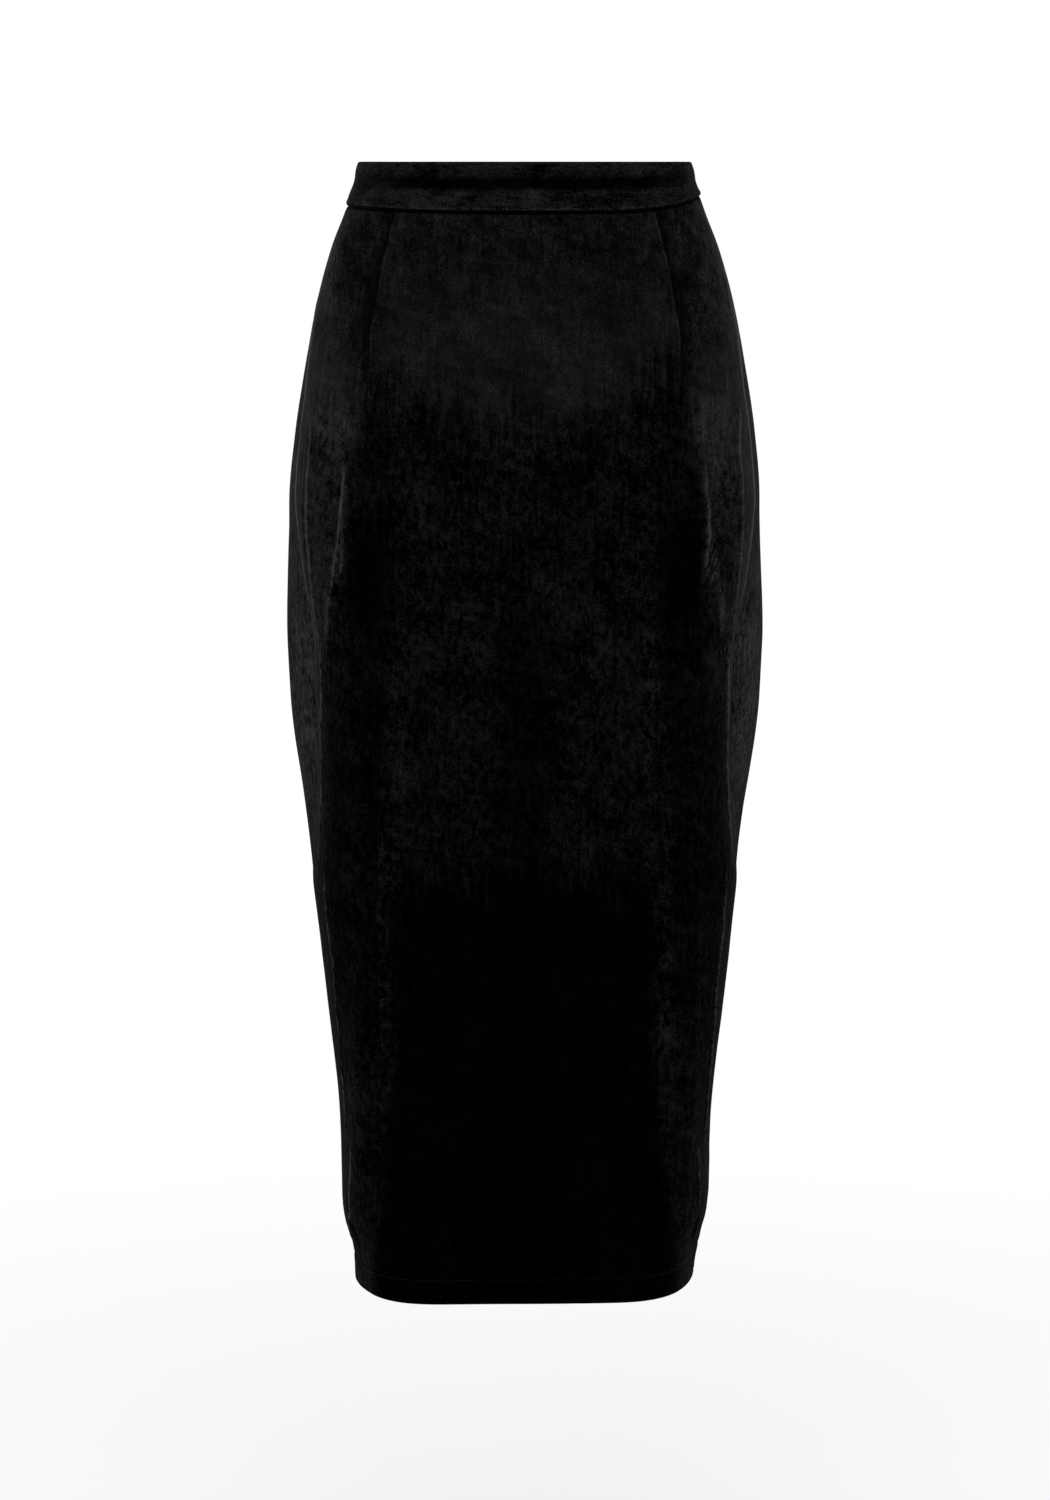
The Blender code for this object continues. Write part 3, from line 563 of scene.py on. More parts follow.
def seam_relief(which, side, drop, distance, level, whole):
    """What sewing does: puckers by the seams, the waistband's groove and the hem's stitched line."""
    seed = SEAM_SEEDS[which]
    round_, to_side = distance * side, whole - distance
    side_sink = -SEAM_SINK * np.exp(-to_side / SEAM_SINK_REACH)
    if which == "front":
        hips = ramp(drop, *RIDGE_TOP) * ramp(drop, *RIDGE_END)
        near, far = SEAM_RIDGE_CREST
        crest = np.minimum(to_side - near, 0) + np.maximum(to_side - far, 0)
        side_sink = side_sink + SEAM_RIDGE * hips * bell(crest, SEAM_RIDGE_WIDTH)
        hollow = SEAM_HOLLOW * ramp(drop, *HOLLOW_TOP) * hips
        side_sink = side_sink - hollow * bell(to_side - HOLLOW_PLACE, HOLLOW_WIDTH)
    from_stitch = drop - (LENGTH - HEM_DEPTH)
    stitch = STITCH_GROOVE * bell(from_stitch, STITCH_GROOVE_WIDTH)
    stitch = stitch + STITCH_ROLL * bell(np.abs(from_stitch) - STITCH_ROLL_PLACE, STITCH_ROLL_WIDTH)
    hem_pucker = wave(round_, HEM_PUCKER.length, seed + 2) * HEM_PUCKER.height
    total = pucker_relief(SIDE_PUCKER, drop, to_side, seed, side) + side_sink + waist_relief(level)
    total = total + pucker_relief(WAIST_PUCKER, round_, np.maximum(level - BAND_DEPTH, 0), seed + 1)
    total = total + stitch + hem_pucker * bell(from_stitch, HEM_PUCKER.reach)
    if which == "back":
        from_centre = distance - centre_edge(which, drop)
        total = total - SEAM_SINK * np.exp(-from_centre / SEAM_SINK_REACH)
        total = total + pucker_relief(CENTRE_PUCKER, drop, from_centre, seed + 3, side)
        ridge = ZIP_RIDGE * ramp(drop, *ZIP_RIDGE_END)
        total = total + ridge * bell(from_centre - ZIP_RIDGE_PLACE, ZIP_RIDGE_WIDTH)
    return total


# ---- meshes ----

MERGE_DISTANCE = 1e-7
# Panel rows by the waist seam, measured from the panel's top edge, and by the hem's stitches and its fold
WAIST_ROWS = (0, 0.0010, 0.0018, 0.0022, 0.0026, 0.0029, 0.0032, 0.0037, 0.0044, 0.0054, 0.0068, 0.0087,
              0.0112)
STITCH_ROWS = (-0.0045, -0.0031, -0.0020, -0.0012, -0.0006, 0, 0.0006, 0.0012, 0.0020, 0.0031)
STITCH_SPAN = (-0.0060, 0.0050)  # the even rows stop and start again this far from the stitches
LOW_ROW_STEP = 0.0032
TURNED_ROW_STEP = 0.0040
FOLD_ROWS = 8
# Panel columns: by a sewn edge, and on both sides of the dart's line
EDGE_TURNS = 6
EDGE_COLUMNS = (0.0016, 0.0024, 0.0036, 0.0054)
DART_COLUMNS = (-0.0062, -0.0042, -0.0027, -0.0015, -0.0007, -0.0002, 0, 0.0002, 0.0006, 0.0012, 0.0021,
                0.0034, 0.0051, 0.0072)
BEFORE_DART, AFTER_DART, BESIDE_SEAMS = 0.0085, 0.0095, 0.0170
BACK_FIRST = 0.0075  # the back's even columns start this far from its centre edge
HIPS_DROP = 0.24  # where the columns have their stated steps
# Where each piece's cloth starts in the pattern of the nap
CLOTH_START = {"back": (2.0, 0.3), "band": (5.0, 1.0), "allowances": (9.0, 0.0), "tape": (12.0, 0.0)}


def spread(start, end, step):
    count = max(2, int(round(abs(end - start) / step)) + 1)
    return np.linspace(start, end, count)


def quad_faces(rows, columns):
    r = np.arange(rows - 1)[:, None] * columns
    c = np.arange(columns - 1)[None, :]
    corners = [r + c, r + c + 1, r + columns + c + 1, r + columns + c]
    return np.stack(corners, axis=-1).reshape(-1, 4)


def new_mesh(name, points, faces, uv, seams=None, painted_light=None):
    """A smooth mesh with its cloth coordinates.

    `seams` holds each point's distances from the sewn lines; the last argument holds its painted highlight
    and its painted light and shade.
    """
    mesh = bpy.data.meshes.new(name)
    mesh.from_pydata([tuple(p) for p in points], [], [tuple(int(i) for i in f) for f in faces])
    corners = np.zeros(len(mesh.loops), np.int32)
    mesh.loops.foreach_get("vertex_index", corners)
    if seams is None:
        seams = np.full((len(points), 2), FAR_FROM_SEAMS)
    if painted_light is None:
        painted_light = np.tile([0.0, 1.0], (len(points), 1))
    for layer_name, values in (("cloth", uv), ("seams", seams), ("painted_light", painted_light)):
        layer = mesh.uv_layers.new(name=layer_name)
        layer.uv.foreach_set("vector", np.asarray(values, np.float32).reshape(-1, 2)[corners].ravel())
    mesh.shade_smooth()
    return mesh


def merge_close(mesh):
    shape = bmesh.new()
    shape.from_mesh(mesh)
    bmesh.ops.remove_doubles(shape, verts=shape.verts, dist=MERGE_DISTANCE)
    bmesh.ops.recalc_face_normals(shape, faces=shape.faces)
    shape.to_mesh(mesh)
    shape.free()
    return mesh


def new_object(name, data):
    obj = bpy.data.objects.new(name, data)
    bpy.context.scene.collection.objects.link(obj)
    return obj


def new_piece(name, mesh, materials, slot, *replaced):
    obj = new_object(name, mesh)
    for material in materials:
        mesh.materials.append(material)
    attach(obj, BODY)
    if replaced:
        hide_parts(*replaced)
    return obj


def side_name(side):
    return "left" if side > 0 else "right"


def joined_halves(make_half, which):
    """The wearer's right half and then the left one, without the middle column twice."""
    halves = [make_half(which, side) for side in (1, -1)]
    return [np.concatenate([right[:, ::-1], left[:, 1:]], axis=1) for left, right in zip(*halves)]


class Patch:
    """Points of half a panel: one row for each level and one column for each station."""

    def __init__(self, which, side, levels, distances):
        half = HALVES[which]
        self.which, self.side, self.distance = which, side, distances
        self.level = np.broadcast_to(np.asarray(levels)[:, None], distances.shape)
        self.whole = half.length(self.level)
        self.share = distances / self.whole
        x, _ = half.at(self.level, self.share)
        fade = np.clip(1 - (self.level - BAND_DEPTH) / SEAM_LIFT_FADE, 0, 1)
        sag = HEM_SAG[side] * smooth(self.share / HEM_SAG_SHARE)
        sag = sag * ramp(self.level, HEM_SLACK_TOP, HEM_SAG_OVER)
        self.drop = self.level + (seam_drop(side, x) - BAND_DEPTH) * fade**2 + sag
        x, y = half.at(self.drop, self.share)
        self.base = np.stack([x, y, TOP_Z - self.drop], axis=-1)
        self.normal = half.normal(self.drop, self.share)

    def relief(self):
        """All of the panel's relief, from its largest folds to its puckers."""
        args = (self.which, self.side, self.drop)
        lift = fold_relief(*args, self.share, self.whole)
        lift = lift + crease_relief(*args, self.distance)
        lift = lift + dart_relief(self.which, self.level, self.distance)
        lift = lift + broad_relief(*args, self.distance)
        return lift + seam_relief(*args, self.distance, self.level, self.whole)

    def raised(self, lift):
        points = self.base + self.normal * np.asarray(lift)[..., None]
        points[..., 0] *= self.side
        return points


def panel_levels():
    """Drops of a panel's rows, and how deep each lies behind the cloth's face once the hem turns up."""
    stitch = LENGTH - HEM_DEPTH
    near_waist = BAND_DEPTH - WAIST_TUCK + np.array(WAIST_ROWS)
    main = spread(near_waist[-1], stitch + STITCH_SPAN[0], ROW_STEP)[1:]
    low = spread(stitch + STITCH_SPAN[1], LENGTH - FOLD_RADIUS, LOW_ROW_STEP)
    flat = np.concatenate([near_waist, main, stitch + np.array(STITCH_ROWS), low])
    turn = np.linspace(0, math.pi, FOLD_ROWS)[1:]
    fold = LENGTH - FOLD_RADIUS + FOLD_RADIUS * np.sin(turn)
    inside = spread(LENGTH - TURNED_ROW_STEP, LENGTH - TURN_UP, TURNED_ROW_STEP)
    levels = np.concatenate([flat, fold, inside])
    deep = np.concatenate([0 * flat, FOLD_RADIUS * (1 - np.cos(turn)), np.full(len(inside), 2 * FOLD_RADIUS)])
    return levels, deep


def edge_columns():
    """Distances from a sewn edge, and how deep the cloth turns in there."""
    turn = np.linspace(math.pi / 2, 0, EDGE_TURNS)
    off = EDGE_RADIUS * (1 - np.sin(turn))
    deep = EDGE_RADIUS * (1 - np.cos(turn))
    more = np.array(EDGE_COLUMNS)
    return np.concatenate([off, more]), np.concatenate([deep, 0 * more])


def panel_stations(which, levels):
    """Distance of each column at each level, with how deep it turns in at a sewn edge."""
    half = HALVES[which]
    off, deep = edge_columns()
    dart = dart_distance(which, levels)[:, None]
    whole = half.length(levels)[:, None] - SEAM_GAP / 2
    start = centre_edge(which, levels)[:, None]
    by_dart = np.array(DART_COLUMNS)
    first = 0.0 if which == "front" else BACK_FIRST
    hips = half.length(HIPS_DROP)
    dart_hips = float(dart_distance(which, np.array([HIPS_DROP]))[0])
    inner = spread(0, 1, COLUMN_STEP / (dart_hips - BEFORE_DART - first))
    outer = spread(0, 1, SIDE_COLUMN_STEP / (hips - dart_hips - BESIDE_SEAMS))
    parts = [start + first + inner * (dart - BEFORE_DART - first - start), dart + by_dart,
             dart + AFTER_DART + outer * (whole - dart - BESIDE_SEAMS), whole - off[::-1]]
    depths = [0 * inner, 0 * by_dart, 0 * outer, deep[::-1]]
    if which == "back":
        parts.insert(0, start + off)
        depths.insert(0, deep)
    return np.concatenate([p + 0 * dart for p in parts], axis=1), np.concatenate(depths)


def half_panel(which, side):
    """Points and cloth coordinates of half a panel, its hem turned up and its sewn edges turned in."""
    levels, row_depth = panel_levels()
    distances, column_depth = panel_stations(which, levels)
    patch = Patch(which, side, levels, distances)
    lift = patch.relief() - row_depth[:, None]
    hem_side = np.cos(np.clip(row_depth / FOLD_RADIUS, 0, 2) * math.pi / 2)[:, None]
    points = patch.raised(lift - column_depth[None, :] * np.maximum(hem_side, 0))
    unrolled = levels.copy()
    folded = row_depth > 0
    unrolled[folded] = LENGTH + np.cumsum(np.abs(np.diff(levels, prepend=levels[0])))[folded]
    unrolled[folded] -= unrolled[folded][0] - LENGTH
    u = side * distances
    v = np.broadcast_to(-unrolled[:, None], u.shape)
    from_dart = distances - dart_distance(which, levels)[:, None]
    below_waist = np.broadcast_to(unrolled[:, None] - BAND_DEPTH, u.shape)
    place = (which, side, patch.drop, distances, patch.whole, patch.base[..., 0])
    # painted highlights, and painted light and shade, for each point
    painted_light = [painted_highlights(*place), painted_light_and_shade(*place)]
    return points, np.stack([u, v, from_dart, below_waist, *painted_light], axis=-1)


def add_wall(obj):
    wall = obj.modifiers.new("wall", "SOLIDIFY")
    wall.thickness = CLOTH
    wall.offset = -1
    wall.use_even_offset = False
    wall.material_offset = 1
    wall.material_offset_rim = 0
    return obj


def panel_piece(name, points, uv, uv_start, replaced):
    faces = quad_faces(*points.shape[:2])[:, ::-1]
    cloth = uv[..., :2] + np.array(uv_start)
    mesh = new_mesh(name, points.reshape(-1, 3), faces, cloth, uv[..., 2:4], uv[..., 4:])
    return add_wall(new_piece(name, mesh, [SUEDE, CLOTH_BACK], "suede", replaced))


def make_front():
    return panel_piece("front_cloth", *joined_halves(half_panel, "front"), (0, 0), "front_panel")


def make_back(side):
    points, uv = half_panel("back", side)
    if side > 0:
        points, uv = points[:, ::-1], uv[:, ::-1]
    across, down = CLOTH_START["back"]
    name = side_name(side)
    return panel_piece("back_cloth_" + name, points, uv, (across * side, down), "back_panel_" + name)


# ---- waistband ----

BAND_LOW, BAND_UNDER = 0.0012, 0.0011  # its faces end this far above the seam, and its lower edge rounds
BAND_ROWS = (22, 9, 10, 7)  # points down the outer face, over the top, down the inner face and under
BAND_STEP = 0.0030
BAND_ENDS = (0, 0.0001, 0.0003, 0.0006, 0.0010, 0.0016)  # columns by each end
BAND_CORNER, BAND_THINNED = 0.0012, 0.75  # how long its rounded ends are, and how far they thin
BAND_DIP, BAND_DIP_REACH, BAND_END_DIP = 0.0002, 0.030, 0.0008  # its top edge dips at the side seams and ends
INSIDE_SHIFT = 0.01  # keeps the inner face's distance from the seam away from the outer one's
BAND_MIDDLE, BAND_MIDDLE_WIDTH = 1.35, 0.088  # the hollow is deepest here
BAND_WANDER, BAND_WANDER_LENGTH = 0.0012, 0.05

# Rolls round the waistband as height, drop and width, and its lip and turned edge above the waist seam
UPPER_ROLL, LOWER_ROLL = (0.0005, 0.0060, 0.0045), (0.0004, 0.0255, 0.0060)
BAND_HOLLOW, BAND_HOLLOW_SIDES = (-0.0015, 0.0145, 0.0050), 0.35  # the hollow, and its share at the sides
BAND_LIP = (0.0005, 0.0022, 0.0014)
BAND_TURNED, BAND_TURNED_REACH = -0.0007, 0.0011
BAND_DENTS = ((0.00018, 0.012, 0.010), (0.0003, 0.04, 0.03))  # height, and size round and down


def band_profile(seam):
    """The waistband's cross-section as (drop, depth) round a closed loop, for each column's seam drop."""
    radius = BAND_WALL / 2
    low = seam - BAND_LOW
    down, over, up, under = BAND_ROWS
    outer = np.linspace(1, 0, down)[:, None] * (low - radius)[None, :] + radius
    over = np.linspace(0, math.pi, over)[1:-1][:, None]
    inner = np.linspace(0, 1, up)[:, None] * (low - radius)[None, :] + radius
    under = np.linspace(0, math.pi, under)[1:-1][:, None]
    drop = [outer, radius - radius * np.sin(over) + 0 * seam, inner, low + BAND_UNDER * np.sin(under)]
    depth = [0 * outer, radius * (1 - np.cos(over)) + 0 * seam, 0 * inner + BAND_WALL,
             radius * (1 + np.cos(under)) + 0 * seam]
    return np.concatenate(drop), np.concatenate(depth)


def band_relief(seed, drop, distance, x, bottom):
    """Soft rolls round the waistband, its edge turned in at the waist seam, and small dents."""
    middle = smooth(BAND_MIDDLE - np.abs(x) / BAND_MIDDLE_WIDTH)
    wander = BAND_WANDER * wave(distance, BAND_WANDER_LENGTH, seed)

    def roll(height, place, width):
        return height * bell(drop - place - wander, width)

    hollow = roll(*BAND_HOLLOW) * (BAND_HOLLOW_SIDES + (1 - BAND_HOLLOW_SIDES) * middle)
    turned = BAND_TURNED * np.exp(-np.maximum(bottom - drop, 0) / BAND_TURNED_REACH)
    height, place, width = BAND_LIP
    lip = height * bell(bottom - drop - place, width)
    dents = sum(height * wobble(distance, drop, across, down, seed + number)
                for number, (height, across, down) in enumerate(BAND_DENTS, 1))
    return BAND_PROUD + (roll(*UPPER_ROLL) + roll(*LOWER_ROLL)) + hollow + turned + lip + dents


def half_band(which, side):
    half = HALVES[which]
    whole = float(half.length(BAND_DEPTH))
    start = 0.0 if which == "front" else ZIP_GAP / 2
    end = np.array(BAND_ENDS)
    middle = spread(start + (0 if which == "front" else BAND_STEP), whole - BAND_STEP, BAND_STEP)
    distances = np.concatenate([middle, whole - end[::-1]])
    if which == "back":
        distances = np.concatenate([start + end, distances])
    x, _ = half.at(np.full(len(distances), BAND_DEPTH), distances / whole)
    seam = seam_drop(side, x)
    drop, depth = band_profile(seam)
    from_end = whole - distances
    if which == "back":
        from_end = np.minimum(from_end, distances - start)
    corner = np.clip(1 - from_end / BAND_CORNER, 0, 1)
    rounding = 1 - np.sqrt(1 - corner**2)
    depth = BAND_WALL / 2 + (depth - BAND_WALL / 2) * (1 - BAND_THINNED * rounding)
    dip = BAND_DIP * smooth(1 - (whole - distances) / BAND_DIP_REACH) + BAND_END_DIP * rounding
    drop = drop + dip * (1 - drop / seam)
    share = np.broadcast_to(distances / whole, drop.shape)
    x, y = half.at(drop, share)
    base = np.stack([x, y, TOP_Z - drop], axis=-1)
    normal = half.normal(0 * drop + BAND_DEPTH / 2, share)
    u = side * distances[None, :] + 0 * drop
    lift = band_relief(BAND_SEEDS[which], drop, u, x, seam[None, :])
    outside = np.clip(1 - depth / BAND_WALL, 0, 1)
    lift = (lift - BAND_PROUD) * outside + BAND_PROUD - depth
    points = base + normal * lift[..., None]
    points[..., 0] *= side
    around = np.cumsum(np.abs(np.diff(drop, axis=0, prepend=drop[:1])), axis=0)
    above_seam = np.maximum(seam[None, :] - drop, 0) + INSIDE_SHIFT * (depth > 0.5 * BAND_WALL)
    return points, np.stack([u, -around, above_seam, drop / seam * BAND_DEPTH], axis=-1)


def band_piece(name, points, uv, uv_start, replaced):
    """The waistband's closed loop of points, capped at both ends."""
    rows, columns = points.shape[:2]
    loop = np.concatenate([points, points[:1]])
    loop_uv = np.concatenate([uv, uv[-1:]])
    faces = [tuple(f) for f in quad_faces(rows + 1, columns)]
    ends = [tuple(r * columns for r in range(rows)), tuple((r + 1) * columns - 1 for r in range(rows))[::-1]]
    cloth = loop_uv[..., :2] + np.array(uv_start)
    mesh = merge_close(new_mesh(name, loop.reshape(-1, 3), faces + ends, cloth, loop_uv[..., 2:]))
    return new_piece(name, mesh, [SUEDE_BAND], "suede", replaced)


def make_waistband():
    """The three waistband pieces, the front's first."""
    across, down = CLOTH_START["band"]
    front = joined_halves(half_band, "front")
    pieces = [band_piece("waistband_cloth_front", *front, (across, 0), "waistband_front")]
    for side in (1, -1):
        name = side_name(side)
        start = (across + CLOTH_START["back"][0] * side, down)
        back = half_band("back", side)
        pieces.append(band_piece("waistband_cloth_" + name, *back, start, "waistband_back_" + name))
    return pieces


# ---- strips and threads ----


def slab_mesh(name, pairs, uv_start):
    """One mesh of thin strips. Each pair is the grids of points on a strip's outer and inner faces."""
    points, faces, uv = [], [], []
    start = 0
    for outer, inner in pairs:
        rows, columns = outer.shape[:2]
        count = rows * columns
        points += [outer.reshape(-1, 3), inner.reshape(-1, 3)]
        top = quad_faces(rows, columns)
        index = np.arange(count).reshape(rows, columns)
        ring = np.concatenate([index[0], index[1:, -1], index[-1, -2::-1], index[-2:0:-1, 0]])
        after = np.roll(ring, -1)
        rim = np.stack([ring, ring + count, after + count, after], axis=1)
        faces += [top + start, top[:, ::-1] + count + start, rim + start]
        u = np.linalg.norm(outer - outer[:, :1], axis=-1)
        uv += [np.stack([u + uv_start[0], outer[..., 2] + uv_start[1]], axis=-1).reshape(-1, 2)] * 2
        start += 2 * count
    return merge_close(new_mesh(name, np.concatenate(points), np.concatenate(faces), np.concatenate(uv)))


def tube_mesh(name, paths, radii, sides):
    """One mesh of threads. `paths` is (threads, points, 3), and `radii` gives the thickness along each."""
    paths = np.asarray(paths)
    threads, count = paths.shape[:2]
    along = np.gradient(paths, axis=1)
    along /= np.linalg.norm(along, axis=-1, keepdims=True)
    across = np.cross(along, [0.31, 0.17, 0.93])  # any direction that no thread follows
    across /= np.linalg.norm(across, axis=-1, keepdims=True)
    up = np.cross(along, across)
    turn = np.arange(sides) * 2 * math.pi / sides
    rings = across[:, :, None] * np.cos(turn)[:, None] + up[:, :, None] * np.sin(turn)[:, None]
    points = (paths[:, :, None] + rings * np.asarray(radii)[None, :, None, None]).reshape(-1, 3)
    step = np.arange(count - 1)[:, None] * sides
    here = np.arange(sides)[None, :]
    after = (here + 1) % sides
    quads = np.stack([step + here, step + after, step + sides + after, step + sides + here], axis=-1)
    starts = np.arange(threads) * count * sides
    faces = [tuple(f) for start in starts for f in quads.reshape(-1, 4) + start]
    for start in starts:
        faces.append(tuple(range(start, start + sides))[::-1])
        faces.append(tuple(range(start + (count - 1) * sides, start + count * sides)))
    return new_mesh(name, points, faces, points[:, [0, 2]])


def surface(which, side, drops, distances, depth):
    """A grid of points that deep behind the plain section, without the cloth's relief."""
    half = HALVES[which]
    drop = np.broadcast_to(np.asarray(drops, float)[:, None], distances.shape)
    share = distances / half.length(drop)
    x, y = half.at(drop, share)
    base = np.stack([x, y, TOP_Z - drop], axis=-1)
    points = base - half.normal(drop, share) * np.broadcast_to(depth, distances.shape)[..., None]
    points[..., 0] *= side
    return points


STRIP_COLUMNS = 5
BEHIND_CLOTH = CLOTH + 0.0005  # how deep the allowances' outer faces lie
HEM_STRIP = (CLOTH + 0.00008, 0.00024)  # depth and wall of those between the hem's two layers
STRIP_ABOVE = 0.0025  # how far up behind the waistband the side seams' strips end
STRIP_STEP, HEM_STRIP_STEP, OTHER_STRIP_STEP = 0.007, 0.004, 0.008
HEM_STRIP_ENDS = (0.0030, 0.0013)  # from the end of the turn-up, and from the hem's edge
DART_FOLD_ENDS = 0.004
DART_FOLD_OUTSIDE, DART_FOLD_WIDTH, DART_FOLD_TAPER = 0.0004, 0.0015, 0.0125
BELOW_ZIP = 0.002
BACK_EDGE_IN, BACK_EDGE_LEAST = 0.00010, 0.00004  # keeps the two centre-back edges apart
BACK_ALLOWANCE, SLIT_MORE, SLIT_RAMP = 0.014, 0.008, 0.03  # the slit's edges are turned in further


def strip(which, side, drops, start, end, depth, wall):
    """Outer and inner points of a thin strip that lies behind a panel, between two distances at each drop."""
    share = np.linspace(0, 1, STRIP_COLUMNS)[None, :]
    distances = np.asarray(start)[:, None] * (1 - share) + np.asarray(end)[:, None] * share
    level = np.broadcast_to(drops[:, None], distances.shape)
    patch = Patch(which, side, drops, distances)
    lift = fold_relief(which, side, level, patch.share, patch.whole)
    lift = lift + broad_relief(which, side, level, distances)
    lift = lift + crease_relief(which, side, level, distances) + waist_relief(level)
    deep, wall = (np.broadcast_to(v, drops.shape)[:, None] for v in (depth, wall))
    return patch.raised(lift - deep), patch.raised(lift - deep - wall)


def make_allowances():
    """The seam allowances, pressed open behind the panels, the slit's turned edges and the darts' folds."""
    low = LENGTH - TURN_UP - HEM_STRIP_ENDS[0]
    strips = []
    for side in (1, -1):
        above = spread(BAND_DEPTH - STRIP_ABOVE, low, STRIP_STEP)
        in_hem = spread(low + HEM_STRIP_ENDS[0], LENGTH - HEM_STRIP_ENDS[1], HEM_STRIP_STEP)
        drops = np.concatenate([above, in_hem])
        deep, wall = (np.where(drops > low, *pair) for pair in zip(HEM_STRIP, (BEHIND_CLOTH, ALLOWANCE_WALL)))
        halves = []
        for which in ("front", "back"):
            edge = HALVES[which].length(drops)
            halves.append(strip(which, side, drops, edge, edge - ALLOWANCE, deep, wall))
        strips.append([np.concatenate([f[:, :0:-1], (f[:, :1] + b[:, :1]) / 2, b[:, 1:]], axis=1)
                       for f, b in zip(*halves)])
        for which in ("front", "back"):
            end = DARTS[which][-1][0] - DART_FOLD_ENDS
            drops = spread(BAND_DEPTH + DART_FOLD_ENDS, end, OTHER_STRIP_STEP)
            line = dart_distance(which, drops)
            inner = line - (DART_FOLD_WIDTH + DART_FOLD_TAPER * dart_share(which, drops))
            outer = line - DART_FOLD_OUTSIDE
            strips.append(strip(which, side, drops, outer, inner, BEHIND_CLOTH, 2 * ALLOWANCE_WALL))
        drops = spread(ZIP_LENGTH + BELOW_ZIP, low, OTHER_STRIP_STEP)
        edge = centre_edge("back", drops)
        inner = np.maximum(edge - BACK_EDGE_IN, BACK_EDGE_LEAST)
        slit = smooth((drops - (LENGTH - SLIT_LENGTH) + SLIT_RAMP) / SLIT_RAMP)
        outer = edge + BACK_ALLOWANCE + SLIT_MORE * slit
        strips.append(strip("back", side, drops, inner, outer, BEHIND_CLOTH, ALLOWANCE_WALL))
    mesh = slab_mesh("seam_allowances", strips, CLOTH_START["allowances"])
    return new_piece("seam_allowances", mesh, [SUEDE], "suede")


# ---- zip ----

TAPE_WALL = 0.0008
TAPE_TOP = 0.0018
TAPE_STEP = 0.004
TAPE_DEPTH, TAPE_RISE, TAPE_RISE_START, TAPE_RISE_OVER = 0.0024, 0.0007, BAND_DEPTH - 0.002, 0.008
TAPE_COLUMNS = (0, 0.0004, 0.0012, 0.0030, 0.0050, 0.0070, 0.0090, 0.0108, 0.0116, 0.0120)
TAPE_EDGE, TAPE_EDGES = 0.00025, ((0.0004, 0.0008), (0.0116, 0.0006))  # woven thicker: places and widths
COIL_TOP, COIL_SHORTER = 0.0135, 0.018
COIL_RADIUS = 0.0011
COIL_FLATTENED = 0.8
COIL_GAP = 0.0004  # between the tapes and the coil
COIL_OFF = 0.00085  # from the middle, on each side
COIL_PLACE = 0.0010  # where its depth is taken
COIL_THREAD = 0.00032
COIL_PITCH = 0.0012
COIL_SIDES = 5
COIL_POINTS = 12  # on each turn
EASED_EDGE, EASED_STEPS, EASED_ANGLE = 0.00022, 3, 50


def tape_depth(drop):
    """How deep a tape's outer face lies: behind the waistband's wall, and then behind the panels'."""
    return TAPE_DEPTH - TAPE_RISE * ramp(drop, TAPE_RISE_START, TAPE_RISE_OVER)


def make_zip():
    """The zip's two tapes, which are returned, and the coil between them."""
    tapes, coils = [], []
    drops = spread(TAPE_TOP, ZIP_LENGTH, TAPE_STEP)
    columns = np.array(TAPE_COLUMNS)
    deep = tape_depth(drops)[:, None]
    distances = np.broadcast_to(ZIP_GAP / 2 + columns[None, :], (len(drops), len(columns)))
    edge = TAPE_EDGE * sum(bell(columns - place, width) for place, width in TAPE_EDGES)[None, :]
    step = np.arange(int((ZIP_LENGTH - COIL_SHORTER) / COIL_PITCH) * COIL_POINTS + 1) / COIL_POINTS
    along = COIL_TOP + step * COIL_PITCH
    for side in (1, -1):
        outer = surface("back", side, drops, distances, deep)
        inner = surface("back", side, drops, distances, deep + TAPE_WALL + edge)
        name = side_name(side)
        mesh = slab_mesh("zip_tape_weave_" + name, [(outer, inner)], CLOTH_START["tape"])
        tapes.append(new_piece("zip_tape_weave_" + name, mesh, [TAPE], "zip_tape", "zip_tape_" + name))
    for side in (1, -1):
        angle = step * 2 * math.pi + (0 if side > 0 else math.pi)
        x = COIL_OFF * side + COIL_RADIUS * np.cos(angle)
        deep = tape_depth(along) + TAPE_WALL + COIL_GAP + COIL_RADIUS * COIL_FLATTENED * (1 + np.sin(angle))
        centre = surface("back", 1, along, np.full((len(along), 1), COIL_PLACE), deep[:, None])[:, 0]
        coils.append(np.stack([x, centre[:, 1], centre[:, 2]], axis=-1))
    mesh = tube_mesh("zip_coil", coils, np.full(len(along), COIL_THREAD), COIL_SIDES)
    new_piece("zip_coil", mesh, [COIL], "zip_tape")
    return tapes


def finish_zip_ends():
    """The slider and its pull keep their solids, with their edges eased and an enamel finish."""
    for name in ("zip_slider", "zip_pull"):
        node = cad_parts[name]
        node.data.materials.clear()
        node.data.materials.append(ENAMEL)
        ease = node.modifiers.new("eased_edges", "BEVEL")
        ease.width = EASED_EDGE
        ease.segments = EASED_STEPS
        ease.limit_method = "ANGLE"
        ease.angle_limit = math.radians(EASED_ANGLE)


# ---- stitches ----

STITCH = 0.0031
STITCH_GAP = 0.0005
STITCH_END = 0.0012  # from the seams to the nearest stitch
STITCH_WAVER, STITCH_WAVER_LENGTH = 0.00012, 0.004
THREAD = 0.00019
THREAD_SHAPE = (0.7, 0.95, 1.0, 1.0, 0.95, 0.7)  # how thick along a stitch
THREAD_SIDES = 6
# Outside and inside: how deep a stitch's ends lie, and how much deeper its middle does
STITCH_DEPTHS = ((0.00022, -0.00034), (0.0021, 0.0001))


